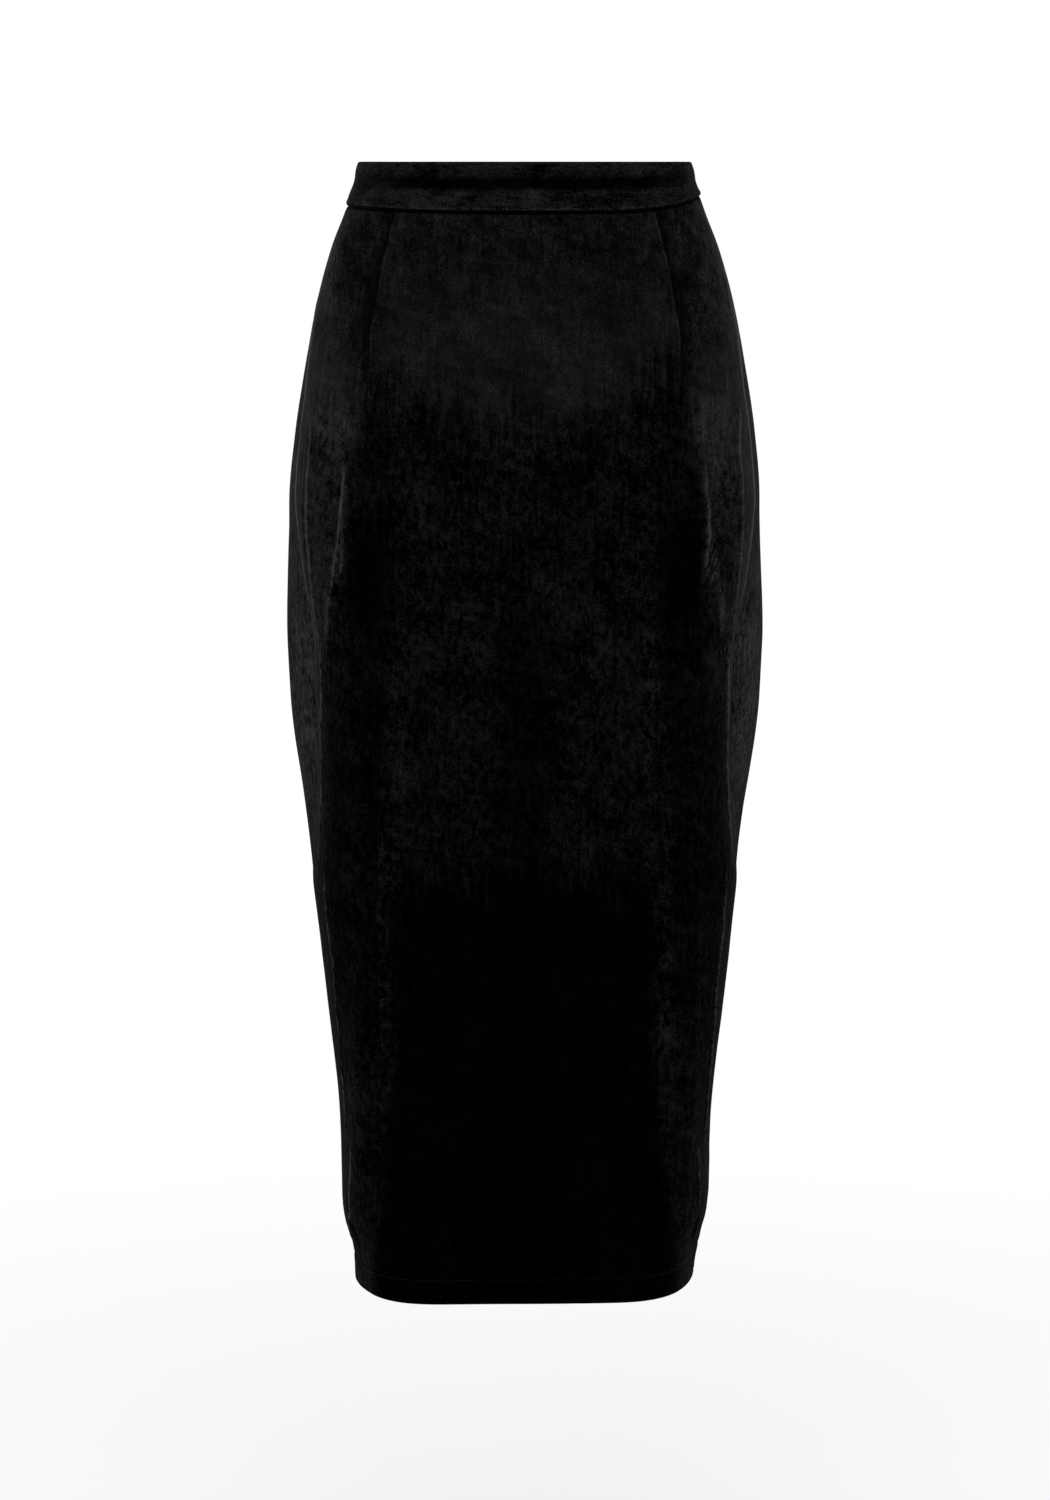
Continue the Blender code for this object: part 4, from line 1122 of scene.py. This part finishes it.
def hem_line(which, side, depth, more):
    """Stitches along the hem of half a panel, as paths."""
    level = LENGTH - HEM_DEPTH
    whole = float(HALVES[which].length(level))
    start = 0.0 if which == "front" else float(centre_edge("back", np.array([level]))[0]) + STITCH_END
    count = int((whole - STITCH_END - start) / STITCH)
    first = start + (0.0 if which == "back" else STITCH_GAP / 2)
    offsets = np.linspace(0, STITCH - STITCH_GAP, len(THREAD_SHAPE))
    distances = (first + np.arange(count)[:, None] * STITCH + offsets[None, :]).reshape(1, -1)
    waver = STITCH_WAVER * wave(distances * side, STITCH_WAVER_LENGTH, STITCH_SEED)
    patch = Patch(which, side, np.array([level]), distances)
    depths = np.tile(depth + more * np.sin(math.pi * (offsets / offsets[-1])), count)[None, :]
    points = patch.raised(patch.relief() - depths)[0]
    points[:, 2] += waver[0]
    return points.reshape(count, len(offsets), 3)


def make_stitches():
    paths = np.concatenate([hem_line(which, side, *depths) for depths in STITCH_DEPTHS
                            for which in ("front", "back") for side in (1, -1)])
    mesh = tube_mesh("hem_stitches", paths, THREAD * np.array(THREAD_SHAPE), THREAD_SIDES)
    return new_piece("hem_stitches", mesh, [THREAD_FINISH], "suede")


# ---- materials ----

SUEDE_ROUGHNESS = 0.95
SHEEN = 0.030
SHEEN_ROUGHNESS = 0.28
PAINTED_HIGHLIGHT = 10.5  # how much lighter a painted highlight makes the colour
MIDDLE_SHADE = 0.40  # painted shade below the belly, as a share of the belly's painted light
LOW_SHADE = 0.06
DARKEST_TONE = 0.06

# Patterns of the nap, as features for each metre across and down, then detail and roughness
GRAIN = ((760.0, 640.0), 2.0, 0.8)
FRINGE = ((210.0, 26.0), 3.0, 0.6)
STROKES = ((26.0, 120.0), 3.0, 0.6)
STROKES_TURN = 0.35
PITS_FINER = (3.8, 3.3)  # than the clouds, across and down
PATCHES_FINER = 0.40
ROUGH_AMOUNTS = {"grain": 5.6, "clouds": 2.6, "patches": 2.2, "streaks": 1.8, "strokes": 2.2}
FRINGE_DEPTH = 0.10  # how unevenly the light and dark areas end, in metres of drop
BAND_CONTRAST, BAND_PITS = 0.8, 3.6
SPECKS = 0.5  # bright specks on the belly
BUMPS = {"pits": 0.0011, "streaks": 0.0004, "grain": 0.00022}

# How painted light and shade change on the panels: where each change starts and ends, and the level there
BELLY_SIDES = (0.050, 0.096, 0.0, 0.034)  # the belly's painted light ends higher up away from the middle
BELLY_DART = (0.098, 0.108, 1.0, 0.0)  # but not beyond the darts
BELLY_END = (0.143, 0.218, 1.0, 0.0)
BELLY_TOP = (0.040, 0.130, 0.58, 1.0)
BELLY_BETWEEN_DARTS, BELLY_OUTSIDE = (0.092, 0.112), 0.55
VALLEY, VALLEY_WIDTH = 0.107, (0.007, 0.023)  # a dark band of painted shade down each side
VALLEY_DARKENS, VALLEY_LIGHTENS = (0.232, 0.272, 0.66, 0.12), (0.290, 0.330, 0.0, 0.65)
VALLEY_ENDS, VALLEY_WAVER, VALLEY_FRINGE = (0.52, 0.62, 0.0, 1.0), 0.5, 0.10
CENTRE_WIDTH, CENTRE_DARKENS = (0.004, 0.034), (0.28, 0.34, 1.0, 0.45)
LOW_FROM, LOW_WIDTH = (0.462, 0.508, 0.0, 1.0), (0.084, 0.094, 1.0, 0.0)  # the darkest painted shade
LOW_NARROWS, LOW_NARROWING = 0.62, 0.125
RIDGE_PLACE = (0.33, 0.44, 0.0880, 0.0980)  # a line of painted light down each side, at a distance from the middle
RIDGE_WIDTH, RIDGE_LIGHT = (0.0015, 0.0095), (0.40, 0.48, 0.46, 0.62)
RIDGE_FROM, RIDGE_TO = (0.31, 0.35, 0.0, 1.0), (0.60, 0.68, 1.0, 0.0)
BELLY_CONTRAST, BELLY_PITS = (0.0, 1.0, 1.3, 0.55), (0.0, 1.0, 6.4, 3.0)
# the pattern is weaker under painted highlights and under strong painted light
HIGHLIGHT_CONTRAST, PAINTED_LIGHT_CONTRAST = (0.0, 0.5, 1.0, 0.22), (1.2, 2.2, 1.0, 0.5)

# Painted shade by the darts, as distances from their lines, with a painted highlight on their lips, and
# painted shade under the waistband
DART_END = (0.075, 0.128, 1.0, 0.0)
DART_SHADE, DART_SHADE_FROM, DART_SHADE_TO = 0.66, (-0.0006, 0.0004, 0.0, 1.0), (0.0010, 0.0125, 1.0, 0.0)
DART_LINE_SHADE, DART_LINE_WIDTH = 0.85, (0.0004, 0.0018, 1.0, 0.0)
DART_LIP, DART_LIP_WIDTH = 0.0016, (0.0004, 0.0012, 0.70, 0.0)
WAIST_SHADE = (0.0006, 0.0020, 0.12, 1.0)

# The waistband's painted shade and light: its dark stripe of painted shade, the ends of that, the painted
# highlight on its lip and the painted shade by the waist seam
STRIPE, STRIPE_WIDTH, STRIPE_FRINGE = 0.0150, (0.0022, 0.0064, 0.12, 1.0), 0.05
STRIPE_ENDS = (0.075, 0.110, 0.0, 0.65)
LIP, LIP_WIDTH = 0.0019, (0.0002, 0.0011, 1.9, 1.0)
LIP_SHADE = (0.0004, 0.0012, 0.15, 1.0)

PLAIN_WEAVE = (0.3, 0.7, 0.75, 1.25)


class Value:
    """A number in a material, which is added to, taken from and multiplied like a plain one."""

    def __init__(self, nodes, socket):
        self.nodes, self.socket = nodes, socket

    def __add__(self, other):
        return self.nodes.math("ADD", self, other)

    def __sub__(self, other):
        return self.nodes.math("SUBTRACT", self, other)

    def __rsub__(self, other):
        return self.nodes.math("SUBTRACT", other, self)

    def __mul__(self, other):
        return self.nodes.math("MULTIPLY", self, other)

    def __abs__(self):
        return self.nodes.math("ABSOLUTE", self)

    def most(self, other):
        return self.nodes.math("MAXIMUM", self, other)

    def ranged(self, low, high, new_low, new_high):
        facts = {"Value": self, "From Min": low, "From Max": high, "To Min": new_low, "To Max": new_high}
        return self.nodes.value("MapRange", facts, interpolation_type="SMOOTHSTEP")

    __radd__, __rmul__ = __add__, __mul__


class Nodes:
    """Short names for the work on one node tree."""

    def __init__(self, tree):
        self.tree = tree

    def add(self, kind, inputs=None, **settings):
        node = self.tree.nodes.new("ShaderNode" + kind)
        for key, value in settings.items():
            setattr(node, key, value)
        self.put(node, inputs or {})
        return node

    def put(self, node, inputs):
        for key, value in inputs.items():
            if isinstance(value, Value):
                self.tree.links.new(value.socket, node.inputs[key])
            else:
                node.inputs[key].default_value = value

    def value(self, kind, inputs=None, output=0, **settings):
        return Value(self, self.add(kind, inputs, **settings).outputs[output])

    def math(self, operation, a, b=0.0):
        return self.value("Math", {0: a, 1: b}, operation=operation)

    def split(self, vector):
        node = self.add("SeparateXYZ", {"Vector": vector})
        return [Value(self, node.outputs[axis]) for axis in "XYZ"]

    def cloth_map(self, name):
        return self.value("UVMap", uv_map=name)

    def noise(self, scale, detail, roughness, turn=0.0):
        """Noise over the cloth, with that many features in a metre across and down, turned by an angle."""
        vector = self.cloth_map("cloth")
        if turn:
            vector = self.value("Mapping", {"Vector": vector, "Rotation": (0, 0, turn)})
        vector = self.value("Mapping", {"Vector": vector, "Scale": (*scale, 1.0)})
        facts = {"Vector": vector, "Scale": 1.0, "Detail": detail, "Roughness": roughness}
        return self.value("TexNoise", facts, noise_dimensions="2D")

    def seen_directly(self):
        """1 for rays from the camera, a mirror or glass, and 0 for the rays that light the object."""
        path = self.add("LightPath").outputs
        rays = [Value(self, path[f"Is {kind} Ray"]) for kind in ("Camera", "Glossy", "Transmission")]
        return rays[0].most(rays[1]).most(rays[2])


class Finish(Nodes):
    """A material on Blender's standard shader."""

    def __init__(self, name):
        self.material = bpy.data.materials.new(name)
        self.material.use_nodes = True
        super().__init__(self.material.node_tree)
        self.shader = self.tree.nodes["Principled BSDF"]

    def set(self, grey, bumps, **values):
        """Sets the shader's values, a grey colour and its bumps, which are pairs of a pattern and a depth."""
        values["Base_Color"] = self.value("CombineColor", {"Red": grey, "Green": grey, "Blue": grey})
        for pattern, depth in bumps:
            facts = {"Height": pattern, "Distance": depth, "Strength": 1.0}
            if "Normal" in values:
                facts["Normal"] = values["Normal"]
            values["Normal"] = self.value("Bump", facts)
        self.put(self.shader, {key.replace("_", " "): value for key, value in values.items()})
        return self.material


def band_level(from_middle, fringe, above_seam, down):
    """Painted light and shade on the waistband: a dark stripe of painted shade along it, a painted highlight
    on its lip, and painted shade by the waist seam.
    """
    level = abs(down + fringe * STRIPE_FRINGE - STRIPE).ranged(*STRIPE_WIDTH)
    level = level.most(from_middle.ranged(*STRIPE_ENDS))
    return level * abs(above_seam - LIP).ranged(*LIP_WIDTH) * above_seam.ranged(*LIP_SHADE)


def panel_level(from_middle, drop, fringe):
    """Painted light and shade on the panels, and how much of it is the belly's painted light."""
    uneven = drop + fringe
    curve = from_middle.ranged(*BELLY_SIDES) * from_middle.ranged(*BELLY_DART)
    belly = (uneven + curve).ranged(*BELLY_END)
    belly = belly * from_middle.ranged(*BELLY_BETWEEN_DARTS, drop.ranged(*BELLY_TOP), BELLY_OUTSIDE)
    wavy = drop + fringe * VALLEY_WAVER
    darkest = wavy.ranged(*VALLEY_DARKENS).most(wavy.ranged(*VALLEY_LIGHTENS))
    out = from_middle + fringe * VALLEY_FRINGE - (drop - LOW_NARROWS).most(0.0) * LOW_NARROWING
    valley = abs(out - VALLEY).ranged(*VALLEY_WIDTH, darkest, 1.0).most(drop.ranged(*VALLEY_ENDS))
    centre = from_middle.ranged(*CENTRE_WIDTH, drop.ranged(*CENTRE_DARKENS), 1.0)
    low = uneven.ranged(*LOW_FROM) * out.ranged(*LOW_WIDTH)
    middle = valley * (MIDDLE_SHADE - low * (MIDDLE_SHADE - LOW_SHADE)) * centre
    ridge = abs(from_middle - drop.ranged(*RIDGE_PLACE)).ranged(*RIDGE_WIDTH, drop.ranged(*RIDGE_LIGHT), 0.0)
    ridge = ridge * drop.ranged(*RIDGE_FROM) * drop.ranged(*RIDGE_TO)
    return belly.most(middle.most(ridge)), belly


def dart_level(from_dart, below_waist):
    """Painted shade beside the darts and along their lines, a painted highlight on their lips, and painted
    shade under the waist seam.
    """
    reach = below_waist.ranged(*DART_END)
    beside = from_dart.ranged(*DART_SHADE_FROM) * from_dart.ranged(*DART_SHADE_TO) * DART_SHADE
    dark = beside.most(abs(from_dart).ranged(*DART_LINE_WIDTH) * DART_LINE_SHADE)
    lip = abs(from_dart + DART_LIP).ranged(*DART_LIP_WIDTH)
    return (1.0 - dark * reach) * (1.0 + lip * reach) * below_waist.ranged(*WAIST_SHADE)


def suede(name, base, clouds_scale, streaks_scale, band=False):
    """Faux suede: short nap that lies in clouds and pits, with fine streaks and a close grain.

    The colour holds painted light over the belly and the seat, and painted shade that is darkest down the
    flat of the lower front and back. Both scales are (across, down) in features for each metre.
    """
    nodes = Finish(name)
    x, _, z = nodes.split(Value(nodes, nodes.add("TexCoord").outputs["Object"]))
    from_middle, drop = abs(x), TOP_Z - z
    across, down = clouds_scale
    patterns = {
        "grain": nodes.noise(*GRAIN),
        "clouds": nodes.noise(clouds_scale, 3.0, 0.6),
        "patches": nodes.noise((across * PATCHES_FINER, down * PATCHES_FINER), 2.0, 0.5),
        "streaks": nodes.noise(streaks_scale, 3.0, 0.6),
        "strokes": nodes.noise(*STROKES, turn=STROKES_TURN),
    }
    pits = nodes.noise((across * PITS_FINER[0], down * PITS_FINER[1]), 3.0, 0.75)
    fringe = (nodes.noise(*FRINGE) - 0.5) * FRINGE_DEPTH
    from_line, below_line, _ = nodes.split(nodes.cloth_map("seams"))
    if band:
        level = band_level(from_middle, fringe, from_line, below_line)
        contrast, pits_amount = BAND_CONTRAST, BAND_PITS
    else:
        # each point's painted highlight, and its painted light and shade, which scale the colour
        highlight, light, _ = nodes.split(nodes.cloth_map("painted_light"))
        level, belly = panel_level(from_middle, drop, fringe)
        level = level * dart_level(from_line, below_line) * light + highlight * PAINTED_HIGHLIGHT
        contrast = belly.ranged(*BELLY_CONTRAST)
        contrast = contrast * highlight.ranged(*HIGHLIGHT_CONTRAST) * light.ranged(*PAINTED_LIGHT_CONTRAST)
        pits_amount = belly.ranged(*BELLY_PITS)
    rough = (pits - 0.5) * pits_amount
    for pattern, amount in ROUGH_AMOUNTS.items():
        rough = rough + (patterns[pattern] - 0.5) * amount
    rough = rough * contrast
    if not band:
        rough = rough + rough * rough * (belly * SPECKS)
    tone = (1.0 + rough).most(DARKEST_TONE)
    bumps = [({"pits": pits, **patterns}[pattern], depth) for pattern, depth in BUMPS.items()]
    return nodes.set(tone * level * base, bumps, Roughness=SUEDE_ROUGHNESS, Specular_IOR_Level=0.0,
                     Sheen_Weight=SHEEN, Sheen_Roughness=SHEEN_ROUGHNESS)


def plain_finish(name, colour, roughness, specular, scale, metallic=0.0, sheen=0.0, depth=0.0001):
    """A dark finish whose fine weave or grain has that many features in a metre, and that depth."""
    nodes = Finish(name)
    weave = nodes.noise(scale, 2.0, 0.6)
    grey = weave.ranged(*PLAIN_WEAVE) * colour
    return nodes.set(grey, [(weave, depth)], Roughness=roughness, Metallic=metallic,
                     Specular_IOR_Level=specular, Sheen_Weight=sheen)


SUEDE = suede("black_suede", 0.0051, (62.0, 44.0), (330.0, 42.0))
SUEDE_BAND = suede("black_suede_band", 0.0048, (55.0, 100.0), (80.0, 420.0), band=True)
CLOTH_BACK = plain_finish("suede_back", 0.006, 0.9, 0.05, (900.0, 900.0), sheen=0.03)
TAPE = plain_finish("tape_weave", 0.008, 0.85, 0.1, (1400.0, 700.0))
COIL = plain_finish("coil_nylon", 0.012, 0.45, 0.4, (600.0, 600.0), depth=0.00002)
THREAD_FINISH = plain_finish("thread", 0.0022, 0.6, 0.05, (2500.0, 2500.0), sheen=0.03)
ENAMEL = plain_finish("black_enamel", 0.012, 0.38, 0.35, (900.0, 900.0), metallic=0.6, depth=0.00001)


# ---- the pieces, and the sizes that the cloth was cut to ----

SLIT_ALLOWANCE = 0.018  # down the centre back, on average
DART_STRIP = (0.008, 0.12)  # a dart's fold, on average
WIDTHS_STEP = 0.002  # between the drops at which a panel's width is taken


def declare_cloth(front, backs, bands, tapes, allowances, stitches):
    """Works out the cloth pieces' cut sizes from the skirt's own sections, but keeps none of them."""
    drops = np.arange(BAND_DEPTH, LENGTH, WIDTHS_STEP)
    long = LENGTH - BAND_DEPTH + WAIST_TUCK + TURN_UP
    panels = [(front, "front", 2, bands[0], [stitches]), (backs[0], "back", 1, bands[1], ()),
              (backs[1], "back", 1, bands[2], ())]
    for piece, which, halves, band, others in panels:
        wide = halves * HALVES[which].length(drops)
        area = float(wide.mean() * long)
        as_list(others)
        halves * float(HALVES[which].length(BAND_DEPTH))
    for tape, back in zip(tapes, backs):
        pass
    long, back_long = LENGTH - BAND_DEPTH, LENGTH - ZIP_LENGTH - TURN_UP
    area = 4 * ALLOWANCE * long + 2 * SLIT_ALLOWANCE * back_long + 4 * DART_STRIP[0] * DART_STRIP[1]
    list(backs)


cloth = [make_front(), [make_back(side) for side in (1, -1)], make_waistband(), make_zip(), make_allowances(),
         make_stitches()]
declare_cloth(*cloth)
finish_zip_ends()

# ---- camera, lights, floor ----

CAMERA_DISTANCE = 2.6
CAMERA_TILT = 9.1048  # degrees down
CAMERA_LENS, CAMERA_SENSOR = 88.13, 36.0
# Each lamp's place, what it points at, its width and height, and its power
LAMPS = {
    "top_lamp": ((0, -0.95, 1.7), (0, 0, -0.15), (1.8, 1.2), 56),
    "front_lamp": ((-0.5, -3.2, 1.0), (0, 0, -0.30), (1.6, 1.6), 17),
    "side_lamp_left": ((1.5, 0.45, 0.25), (0, 0, -0.20), (0.5, 1.2), 13),
    "side_lamp_right": ((-1.5, 0.45, 0.25), (0, 0, -0.20), (0.5, 1.2), 13),
}
SKY_LEVEL = 0.28
FLOOR_Z = -1.12  # the skirt hangs at the height at which it is worn
FLOOR_SIZE = 60.0
FLOOR_SHADOW_REACH = (0.5, 1.6)  # past the first the floor fades to plain white, which it is from the second
FLOOR_WHITE = 0.65  # how far the floor is plain white to the camera near the skirt; the rest holds the shadow
FLOOR_COLOUR = 0.80


def make_camera():
    data = bpy.data.cameras.new("camera")
    data.lens = CAMERA_LENS
    data.sensor_width = CAMERA_SENSOR
    camera = new_object("camera", data)
    camera.location = (0, -CAMERA_DISTANCE, TOP_Z)
    camera.rotation_euler = (math.radians(90 - CAMERA_TILT), 0, 0)
    bpy.context.scene.camera = camera


def make_lamps():
    for name, (place, target, size, power) in LAMPS.items():
        data = bpy.data.lights.new(name, "AREA")
        data.shape = "RECTANGLE"
        data.size, data.size_y = size
        data.energy = power
        lamp = new_object(name, data)
        lamp.location = place
        lamp.rotation_euler = (Vector(target) - Vector(place)).to_track_quat("-Z", "Y").to_euler()


def make_world():
    world = bpy.data.worlds.new("studio")
    bpy.context.scene.world = world
    world.use_nodes = True
    nodes = Nodes(world.node_tree)
    level = nodes.value("MapRange", {"Value": nodes.seen_directly(), "To Min": SKY_LEVEL, "To Max": 1.0})
    nodes.put(nodes.tree.nodes["Background"], {"Color": (1, 1, 1, 1), "Strength": level})


def make_floor():
    """A white floor that holds the skirt's shadow and runs into the white background."""
    half = FLOOR_SIZE / 2
    corners = [(-half, -half, FLOOR_Z), (half, -half, FLOOR_Z), (half, half, FLOOR_Z), (-half, half, FLOOR_Z)]
    mesh = bpy.data.meshes.new("floor")
    mesh.from_pydata(corners, [], [(0, 1, 2, 3)])
    floor = new_object("floor", mesh)
    material = bpy.data.materials.new("white_floor")
    material.use_nodes = True
    nodes = Nodes(material.node_tree)
    nodes.tree.nodes.clear()
    place = nodes.value("NewGeometry", output="Position")
    flat = nodes.value("VectorMath", {0: place, 1: (1, 1, 0)}, operation="MULTIPLY")
    far = nodes.value("VectorMath", {0: flat}, "Value", operation="LENGTH")
    white = far.ranged(*FLOOR_SHADOW_REACH, FLOOR_WHITE, 1.0) * nodes.seen_directly()
    matt = nodes.value("BsdfDiffuse", {"Color": (FLOOR_COLOUR, FLOOR_COLOUR, FLOOR_COLOUR, 1)})
    mixed = nodes.value("MixShader", {0: white, 1: matt, 2: nodes.value("Emission")})
    nodes.add("OutputMaterial", {"Surface": mixed})
    mesh.materials.append(material)


make_camera()
make_lamps()
make_world()
make_floor()

bpy.context.scene.view_settings.view_transform = "Standard"
